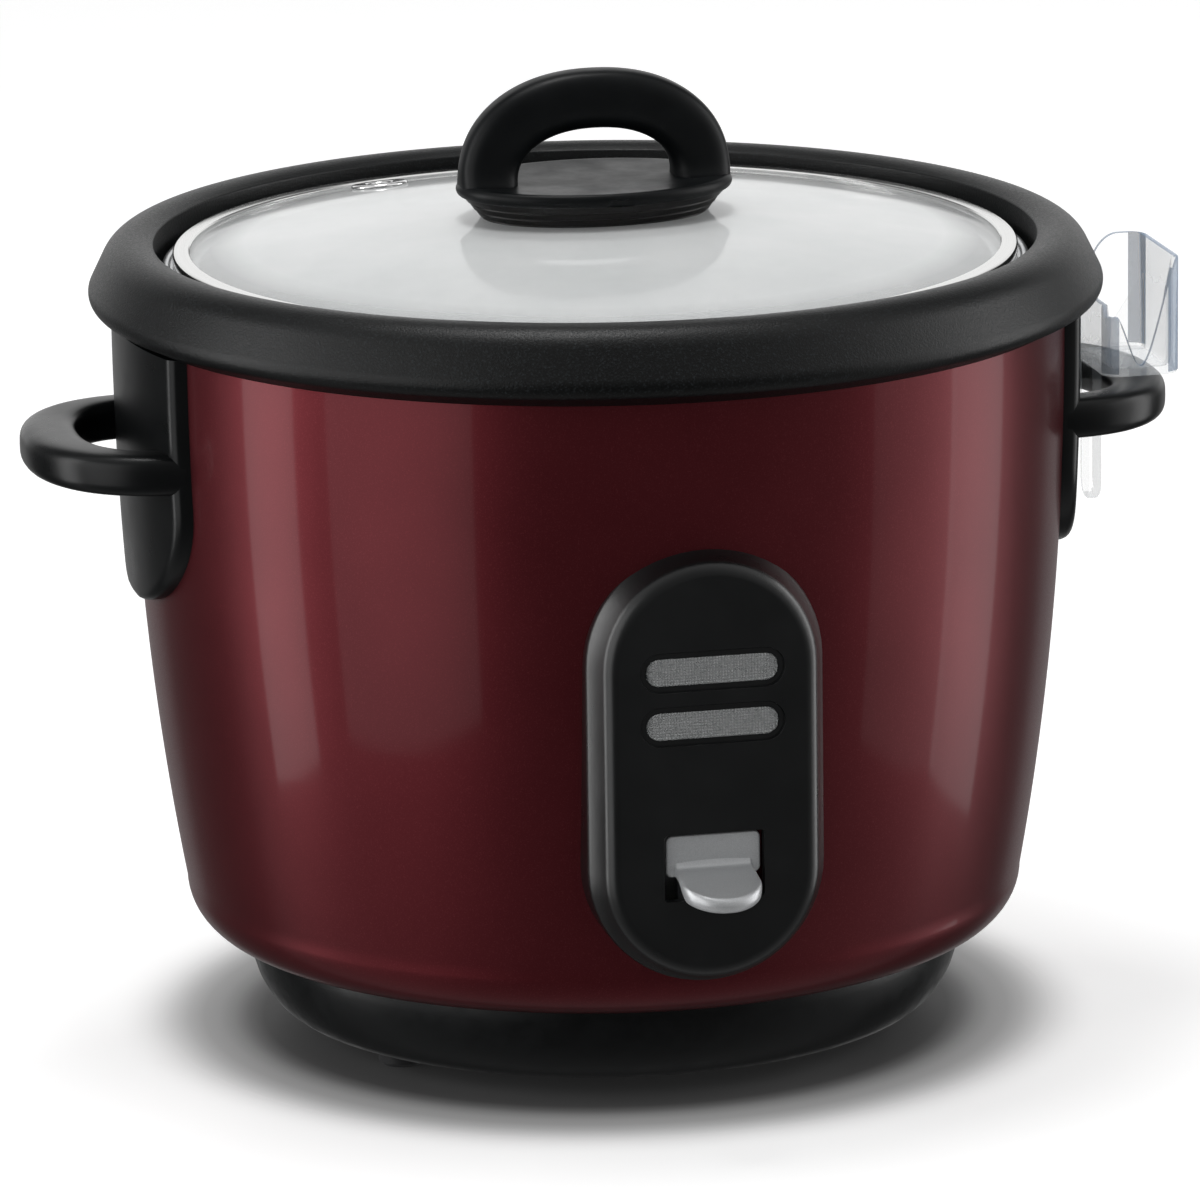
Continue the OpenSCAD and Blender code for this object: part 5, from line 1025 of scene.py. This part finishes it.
pot_profile = np.concatenate([
    pot_wall_line(0.0),
    [[POT_R - 0.0006, POT_RIM_Z - 0.004], [POT_R, POT_RIM_Z - 0.0006], [POT_R + 0.0008, POT_RIM_Z]],
    arc(POT_R + POT_RIM, POT_RIM_Z + 0.0009, POT_BEAD_R, POT_BEAD_R, -145, 155, 20),
    [[POT_R + 0.0008, POT_RIM_Z + POT_WALL], [POT_R - POT_WALL, POT_RIM_Z + POT_WALL - 0.0004],
     [POT_R - POT_WALL - 0.0006, POT_RIM_Z - 0.004]],
    pot_wall_line(POT_WALL)[::-1]])
pot_aluminium = turned_metal("pot_aluminium", (0.66, 0.67, 0.68), (0.80, 0.81, 0.82), 0.0007, 0.30, 0.000006)
made_piece("spun_pot", [skin(turned(pot_profile, 288), round_columns=True)],
           pot_aluminium, "pot", ["cooking_pot"])

# --- Lid glass -----------------------------------------------------------------------------------
# A shallow dome of toughened glass, ground round its edge, with a hole for the vent and one for the
# knob's screw.

band_low, band_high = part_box("lid_band")
glass_low, glass_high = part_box("lid_glass")
BAND_R = band_high[0]
BAND_W, BAND_WALL = 0.0044, 0.0007
BAND_Z, BAND_TOP_Z = band_low[2], band_high[2]
GLASS_R = glass_high[0]
GLASS_T = 0.002
GLASS_EDGE_Z = glass_low[2]
DOME_R = BAND_R - BAND_W
DOME_RISE = glass_high[2] - GLASS_T - GLASS_EDGE_Z
LID_HOLE_R = 0.004
# the radii over which the veil of painted reflection thins, and the share of it left at the rim
VEIL_THINNING_R, VEIL_RIM_SHARE = (0.090, 0.099), 0.62
VENT_ANGLE = math.radians(116.0)
VENT_R = BAND_R - 0.0175
VENT_HOLE_R = 0.0032
VENT_TUBE_R = VENT_HOLE_R + 0.001
VENT_RIM_R = 0.0076


def dome_height(r):
    """Height of the glass's underside: highest in the middle, falling with the square of the radius."""
    return GLASS_EDGE_Z + DOME_RISE * (1.0 - (np.minimum(r, DOME_R) / DOME_R) ** 2)


def lid_clear():
    """Clear glass under a pale veil, most opaque where the eye grazes it, so that the veil paints the glass's
    reflection of the white room on top of its real gloss; this painted reflection is fullest in the middle
    and thins out towards the rim."""
    finish, shader_nodes, links, shader = node_material("lid_clear")
    veil_drift = speckle(shader_nodes, links, 0.03, 3.0)
    links.new(two_tone(shader_nodes, links, veil_drift, (0.82, 0.84, 0.84), (0.90, 0.91, 0.91)),
              shader.inputs["Base Color"])
    links.new(graded(shader_nodes, links, veil_drift, 0.06, 0.10), shader.inputs["Roughness"])
    # a pale veil that thickens where the eye grazes the glass: painted reflection of the white room, on top of the
    # glass's real gloss
    grazing = shader_nodes.new("ShaderNodeFresnel")
    grazing.inputs["IOR"].default_value = 1.45
    seen = graded(shader_nodes, links, grazing.outputs["Fac"], 0.22, 0.78, 0.03, 0.34)
    place = shader_nodes.new("ShaderNodeTexCoord")
    flat = shader_nodes.new("ShaderNodeVectorMath")
    flat.operation = "MULTIPLY"
    flat.inputs[1].default_value = (1.0, 1.0, 0.0)
    links.new(place.outputs["Object"], flat.inputs[0])
    from_axis = shader_nodes.new("ShaderNodeVectorMath")
    from_axis.operation = "LENGTH"
    links.new(flat.outputs["Vector"], from_axis.inputs[0])
    # the veil of painted reflection is full in the middle and thins to a share of itself over the outer part towards
    # the rim
    reflection_veil_by_radius = graded(shader_nodes, links, from_axis.outputs["Value"], 1.0, VEIL_RIM_SHARE, *VEIL_THINNING_R)
    alpha = shader_nodes.new("ShaderNodeMath")
    alpha.operation = "MULTIPLY"
    links.new(seen, alpha.inputs[0])
    links.new(reflection_veil_by_radius, alpha.inputs[1])
    links.new(alpha.outputs[0], shader.inputs["Alpha"])
    shader.inputs["Specular IOR Level"].default_value = 0.30
    return finish


dome_r = np.concatenate([np.linspace(LID_HOLE_R, DOME_R, 66), [DOME_R + 0.001, GLASS_R - 0.0004, GLASS_R]])
dome_profile = np.column_stack([dome_r, dome_height(dome_r) + GLASS_T])
dome_profile[-1, 1] -= 0.0004
dome_points = turned(dome_profile, 360)
vent_x, vent_y = VENT_R * math.cos(VENT_ANGLE), VENT_R * math.sin(VENT_ANGLE)
dome_middle = (dome_points + np.roll(dome_points, -1, axis=1)) / 4.0
dome_middle = dome_middle[:-1] + dome_middle[1:]
vent_keep = np.hypot(dome_middle[..., 0] - vent_x, dome_middle[..., 1] - vent_y) > VENT_TUBE_R + 0.0012
lid_dome = made_piece("glass_dome", [skin(dome_points, round_columns=True, keep=vent_keep)],
                      lid_clear(), "lid", ["lid_glass"])
glass_gauge = lid_dome.modifiers.new("gauge", "SOLIDIFY")
glass_gauge.thickness = GLASS_T
glass_gauge.offset = -1.0

# --- Lid band --------------------------------------------------------------------------------------
# Polished stainless strip rolled round the edge of the glass into a channel.

BAND_EASE = 0.0007
band_outer = np.concatenate([
    [[BAND_R - BAND_W, BAND_Z]], arc(BAND_R - BAND_EASE, BAND_Z + BAND_EASE, BAND_EASE, BAND_EASE, -90, 0, 5),
    arc(BAND_R - BAND_EASE, BAND_TOP_Z - BAND_EASE, BAND_EASE, BAND_EASE, 0, 90, 5),
    [[BAND_R - BAND_W + 0.0003, BAND_TOP_Z], [BAND_R - BAND_W, BAND_TOP_Z - 0.0003]]])
band_inner = np.array([
    [BAND_R - BAND_W, BAND_TOP_Z - BAND_WALL], [GLASS_R + 0.00002, BAND_TOP_Z - BAND_WALL],
    [GLASS_R + 0.00002, BAND_Z + BAND_WALL], [BAND_R - BAND_W, BAND_Z + BAND_WALL]])
polished_steel = turned_metal("polished_steel", (0.70, 0.70, 0.69), (0.80, 0.80, 0.79), 0.0005, 0.13, 0.000002)
made_piece("steel_band", [skin(turned(np.concatenate([band_outer, band_inner]), 360),
                               round_rows=True, round_columns=True)],
           polished_steel, "lid", ["lid_band"])

# --- Steam vent --------------------------------------------------------------------------------------
# A chromed eyelet, riveted square to the glass, that lets the steam out.

vent_slope = math.atan(2.0 * DOME_RISE * VENT_R / DOME_R ** 2)
vent_turn = np.array(Matrix.Rotation(VENT_ANGLE, 3, "Z") @ Matrix.Rotation(vent_slope, 3, "Y"))
VENT_RIM_T = 0.0008
VENT_SLACK = 0.0001
vent_profile = np.concatenate([
    [[VENT_TUBE_R + 0.0015, -VENT_SLACK], [VENT_TUBE_R, -VENT_SLACK],
     [VENT_TUBE_R, GLASS_T + VENT_SLACK], [VENT_RIM_R - 0.0002, GLASS_T + VENT_SLACK]],
    arc(VENT_RIM_R - 0.0008, GLASS_T + VENT_SLACK, 0.0008, VENT_RIM_T, 10, 90, 6),
    arc(VENT_HOLE_R + 0.0008, GLASS_T + VENT_SLACK + VENT_RIM_T - 0.0010, 0.0008, 0.0010, 90, 180, 8),
    [[VENT_HOLE_R, -VENT_SLACK - VENT_RIM_T + 0.0002], [VENT_HOLE_R + 0.0002, -VENT_SLACK - VENT_RIM_T],
     [VENT_TUBE_R + 0.0013, -VENT_SLACK - VENT_RIM_T], [VENT_TUBE_R + 0.0015, -VENT_SLACK - VENT_RIM_T + 0.0002]]])
vent_points = turned(vent_profile, 96) @ vent_turn.T + [vent_x, vent_y, float(dome_height(VENT_R))]
chrome = clouded("vent_chrome", (0.70, 0.70, 0.70), (0.80, 0.80, 0.80), 0.004, 0.14, 0.000002, metallic=1.0)
made_piece("vent_eyelet", [skin(vent_points, round_rows=True, round_columns=True)],
           chrome, "lid", ["steam_vent"])

# --- Knob ---------------------------------------------------------------------------------------------
# Soft satin black moulding: an oval plate with a rolled rim and a broad arch for two fingers. It
# stands on a tapered seat with fine lines round it, and a screw through the glass holds both.

knob_low, knob_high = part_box("lid_knob")
seat_low, seat_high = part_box("knob_seat")
KNOB_HALF_X, KNOB_HALF_Y = knob_high[0], knob_high[1]
KNOB_Z = seat_high[2]
KNOB_PLATE_T = 0.0035
KNOB_DECK_Z = KNOB_Z + KNOB_PLATE_T
KNOB_ARCH_H = knob_high[2] - KNOB_DECK_Z
KNOB_OPENING_X, KNOB_OPENING_H = 0.0205, 0.013
KNOB_ARCH_W = 0.012
KNOB_RIM_ROUND = 0.0017
KNOB_DISH = 0.0007
ARCH_POWER = 2.2
ARCH_SECTION_POWER = 3.0
ARCH_ROOT_DIP = math.radians(5.0)
NOTCH_HALF, NOTCH_X, NOTCH_DEPTH = 0.0034, 0.0015, 0.0007
SEAT_LINES = 3


def oval(scale_x, scale_y, sides=320):
    """Points round an ellipse, as two columns of x and y."""
    angle = np.linspace(0.0, 2.0 * np.pi, sides, endpoint=False)
    return scale_x * np.cos(angle), scale_y * np.sin(angle)


def oval_rings(line):
    """Rings of an oval plate from a line of (inset from the full oval, height)."""
    rings = []
    for inset, z in line:
        x, y = oval(max(KNOB_HALF_X - inset, 0.0), max(KNOB_HALF_Y - inset * KNOB_HALF_Y / KNOB_HALF_X, 0.0))
        rings.append(np.column_stack([x, y, z + 0.0 * x]))
    return np.stack(rings)


def knob_plate():
    """The oval plate: an underside, a rolled rim, and a deck dished by the square of the distance
    from its edge. A shallow notch is let into the lower front of the rim."""
    edge = arc(0.0, 0.0, KNOB_RIM_ROUND, KNOB_PLATE_T / 2, -90, 90, 12)
    rim = np.column_stack([KNOB_RIM_ROUND - edge[:, 0], KNOB_Z + KNOB_PLATE_T / 2 + edge[:, 1]])
    deck_share = np.linspace(0.04, 1.0, 14)
    deck = np.column_stack([KNOB_RIM_ROUND + (KNOB_HALF_X - KNOB_RIM_ROUND) * deck_share,
                            KNOB_DECK_Z - KNOB_DISH * (1.0 - (1.0 - deck_share) ** 2)])
    rings = oval_rings(np.concatenate([[[KNOB_HALF_X, KNOB_Z], [0.010, KNOB_Z]], rim, deck]))
    low = rings[..., 2] < KNOB_Z + 0.0019
    narrowing = (rings[..., 2] - KNOB_Z) * 0.45
    in_notch = low & (rings[..., 1] < -0.02) & (np.abs(rings[..., 0] - NOTCH_X) < NOTCH_HALF - narrowing)
    rings[..., 1] += NOTCH_DEPTH * in_notch
    return skin(rings, round_columns=True)


def knob_arch():
    """The arch: a squared round section carried over a squared half ellipse, between the finger
    opening and the outer curve, and widened where it meets the deck."""
    along = (np.pi + 2.0 * ARCH_ROOT_DIP) * np.linspace(0.0, 1.0, 121)[:, None] - ARCH_ROOT_DIP
    section = np.linspace(0.0, 2.0 * np.pi, 48, endpoint=False)[None, :]
    c, s = squared_round(along, ARCH_POWER)
    p, q = squared_round(section, ARCH_SECTION_POWER)
    outer_x, outer_z = (KNOB_HALF_X - 0.0005) * c, KNOB_ARCH_H * s
    inner_x, inner_z = KNOB_OPENING_X * c, KNOB_OPENING_H * s
    x = (inner_x + outer_x) / 2 + (outer_x - inner_x) / 2 * p
    z = (inner_z + outer_z) / 2 + (outer_z - inner_z) / 2 * p
    foot = np.exp(-np.maximum(z, 0.0) / 0.0025)
    y = KNOB_ARCH_W / 2 * q * (1.0 + 0.30 * foot)
    return skin(np.stack([x, y, KNOB_DECK_Z + z], axis=-1), round_columns=True, ends=True)


def knob_seat():
    """The seat: rings that narrow from the plate down to the glass, with a fine groove at each line.
    Its foot follows the dome."""
    top_z, foot_z = KNOB_Z, KNOB_Z - 0.0066
    line = [[KNOB_HALF_X, top_z], [0.0016, top_z]]
    for k in range(SEAT_LINES):
        share = (k + 1) / (SEAT_LINES + 0.6)
        z = top_z - (top_z - foot_z) * share
        inset = 0.0020 + 0.0052 * share ** 1.15
        line += [[inset - 0.0002, z + 0.00028], [inset + 0.0005, z + 0.0001],
                 [inset + 0.0005, z - 0.0001], [inset + 0.0004, z - 0.00028]]
    line += [[0.0076, foot_z], [KNOB_HALF_X, foot_z]]
    rings = oval_rings(line)
    foot = rings[-2:]
    foot[..., 2] = dome_height(np.hypot(foot[..., 0], foot[..., 1])) + GLASS_T + 0.00002
    return skin(rings, round_columns=True)


soft_black = clouded("soft_black", (0.0020, 0.0026, 0.0030), (0.0034, 0.0042, 0.0048), 0.012, 0.40, 0.000012,
                     specular=0.14)
seat_black = clouded("seat_black", (0.0040, 0.0038, 0.0038), (0.0070, 0.0062, 0.0060), 0.006, 0.40, 0.00001,
                     specular=0.2)
made_piece("knob_moulding", [knob_plate(), knob_arch()], soft_black, "lid", ["lid_knob"],
           crease=50.0)
made_piece("seat_moulding", [knob_seat()], seat_black, "lid", ["knob_seat"], crease=35.0)
white_seal = clouded("white_seal", (0.62, 0.63, 0.62), (0.74, 0.75, 0.74), 0.003, 0.55, 0.00001)
finish_node("knob_washer", white_seal, 0.0002)
finish_node("knob_screw", zinc)

# --- Spoon holder ----------------------------------------------------------------------------------------
# Injection-moulded clear plastic, blue where the light comes out of its edges. A cup with a high
# back, a low side next to the cooker and a notch in front, a thin fin, and a stem for the loop.

holder_low, holder_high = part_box("spoon_holder")
CUP_X0, CUP_X1 = holder_low[0], holder_high[0]
CUP_HALF_Y = holder_high[1]
CUP_H = 0.031
CUP_Z = holder_high[2] - CUP_H
CUP_WALL = 0.0018
CUP_CORNER = 0.005
CUP_LOW = 0.019
CUP_LOW_X, CUP_CURVE_X = 0.006, 0.014
CUP_NOTCH_X, CUP_NOTCH_LEFT, CUP_NOTCH_RIGHT = 0.0098, 0.0068, 0.0110
STEM_T, STEM_W = 0.0032, 0.010
FIN_Y, FIN_T, FIN_TOP = 0.006, 0.0012, 0.022


def clear_styrene(name, tint, low_alpha, high_alpha):
    """Clear plastic: hardly there where the eye meets it square on, and tinted where it is grazed."""
    finish, shader_nodes, links, shader = node_material(name)
    ripple = speckle(shader_nodes, links, 0.012, 2.0)
    links.new(two_tone(shader_nodes, links, ripple, [0.9 * c for c in tint], tint), shader.inputs["Base Color"])
    links.new(graded(shader_nodes, links, ripple, 0.03, 0.08), shader.inputs["Roughness"])
    grazing = shader_nodes.new("ShaderNodeFresnel")
    grazing.inputs["IOR"].default_value = 1.48
    links.new(graded(shader_nodes, links, grazing.outputs["Fac"], low_alpha, high_alpha, 0.05, 0.55),
              shader.inputs["Alpha"])
    shader.inputs["Specular IOR Level"].default_value = 0.35
    relief(shader_nodes, links, shader, ripple, 0.00002)
    return finish


def cup_outline(inset, steps=14):
    """Points round the cup seen from above, at a distance in from its outside, closely spaced."""
    x0, x1, y1, r = CUP_X0 + inset, CUP_X1 - inset, CUP_HALF_Y - inset, CUP_CORNER - inset
    side = np.linspace(-y1 + r, y1 - r, 40)[1:-1]
    front = np.linspace(x0 + r, x1 - r, 90)[1:-1]
    return np.concatenate([
        arc(x1 - r, y1 - r, r, r, 0, 90, steps), np.column_stack([front[::-1], y1 + 0.0 * front]),
        arc(x0 + r, y1 - r, r, r, 90, 180, steps), np.column_stack([x0 + 0.0 * side, side[::-1]]),
        arc(x0 + r, -y1 + r, r, r, 180, 270, steps), np.column_stack([front, -y1 + 0.0 * front]),
        arc(x1 - r, -y1 + r, r, r, 270, 360, steps), np.column_stack([x1 + 0.0 * side, side])])


def cup_height(outline):
    """Height of the wall's top at each point of the outline: low beside the cooker, then up a
    quarter ellipse to the full height, and in the front wall down and up two S curves."""
    x, y = outline[:, 0] - CUP_X0, outline[:, 1]
    rise = np.clip((x - CUP_LOW_X) / (CUP_CURVE_X - CUP_LOW_X), 0.0, 1.0)
    height = CUP_LOW + (CUP_H - CUP_LOW) * np.sqrt(1.0 - (1.0 - rise) ** 2)
    floor_h = CUP_WALL + 0.0012
    away = np.where(x < CUP_NOTCH_X, (CUP_NOTCH_X - x) / CUP_NOTCH_LEFT, (x - CUP_NOTCH_X) / CUP_NOTCH_RIGHT)
    away = np.clip(away, 0.0, 1.0)
    top = np.where(x < CUP_NOTCH_X, CUP_LOW - 0.003, CUP_H)
    notch = floor_h + (top - floor_h) * away ** 2 * (3.0 - 2.0 * away)
    in_front = y < -CUP_HALF_Y + CUP_CORNER * 0.6
    return np.where(in_front, np.minimum(height, notch), height)


def holder_cup():
    """The cup: rings that go up the outside, over the wall's rounded top and down the inside, each
    point's heights scaled to its own wall top."""
    edge = 0.0005
    top = cup_height(cup_outline(0.0))
    rings = []
    for inset, share, offset in ((0.0014, 0.0, 0.0), (0.0004, 0.0, 0.0002), (0.0, 0.0, 0.0009),
                                 (0.0, 0.5, 0.0), (0.0, 1.0, -edge), (edge * 0.3, 1.0, -edge * 0.3),
                                 (edge, 1.0, 0.0), (CUP_WALL - edge, 1.0, 0.0),
                                 (CUP_WALL - edge * 0.3, 1.0, -edge * 0.3), (CUP_WALL, 1.0, -edge)):
        outline = cup_outline(inset)
        rings.append(np.column_stack([outline, CUP_Z + np.maximum(share * top + offset, 0.0)]))
    for inset, share in ((CUP_WALL, 0.5), (CUP_WALL, 0.12), (CUP_WALL + 0.0004, 0.03), (CUP_WALL + 0.0014, 0.0)):
        outline = cup_outline(inset)
        rings.append(np.column_stack([outline, CUP_Z + CUP_WALL + share * np.maximum(top - CUP_WALL - edge, 0.0)]))
    return skin(np.stack(rings), round_columns=True, ends=True)


fin_outline = np.array([[CUP_X0 + 0.0040, CUP_Z + CUP_WALL + 0.00002],
                        [CUP_X1 - CUP_WALL - 0.0010, CUP_Z + CUP_WALL + 0.00002],
                        [CUP_X1 - CUP_WALL - 0.0015, CUP_Z + FIN_TOP]])
stem_low_z = holder_low[2]
stem_line = np.concatenate([
    arc(0.0, stem_low_z + STEM_W / 2, STEM_W / 2, STEM_W / 2, 180, 360, 20),
    [[STEM_W / 2, CUP_Z - 0.00002], [-STEM_W / 2, CUP_Z - 0.00002]]])
stem_rings = []
for inset, x in ((0.0005, 0.0), (0.0, 0.0005), (0.0, STEM_T - 0.0005), (0.0005, STEM_T)):
    shrunk = np.column_stack([stem_line[:, 0] * (1.0 - inset / (STEM_W / 2)),
                              stem_line[:, 1] + inset * (stem_line[:, 1] < stem_low_z + STEM_W / 2)])
    stem_rings.append(np.column_stack([CUP_X0 + x + 0.0 * shrunk[:, 0], shrunk]))
holder = made_piece("clear_holder", [
    holder_cup(), skin(np.stack([upright(fin_outline, -FIN_Y), upright(fin_outline, -FIN_Y - FIN_T)]),
                       round_columns=True, ends=True),
    skin(np.stack(stem_rings), round_columns=True, ends=True)],
    clear_styrene("clear_styrene", (0.90, 0.94, 0.97), 0.04, 0.36), "spoon_rest",
    ["spoon_holder"], crease=35.0)

# the wall's thickness shows blue round the cup's rim: faces that lie between its two skins
holder.data.materials.append(clear_styrene("styrene_edge", (0.07, 0.19, 0.36), 0.62, 0.85))
middles = np.array([tuple(face.center) for face in holder.data.polygons])
facing = np.array([tuple(face.normal) for face in holder.data.polygons])
out = np.minimum(np.minimum(middles[:, 0] - CUP_X0, CUP_X1 - middles[:, 0]), CUP_HALF_Y - np.abs(middles[:, 1]))
on_rim = (out > 0.0002) & (out < CUP_WALL - 0.0002) & (middles[:, 2] > CUP_Z + CUP_WALL) & (facing[:, 2] > -0.2)
holder.data.polygons.foreach_set("material_index", on_rim.astype(np.int32))
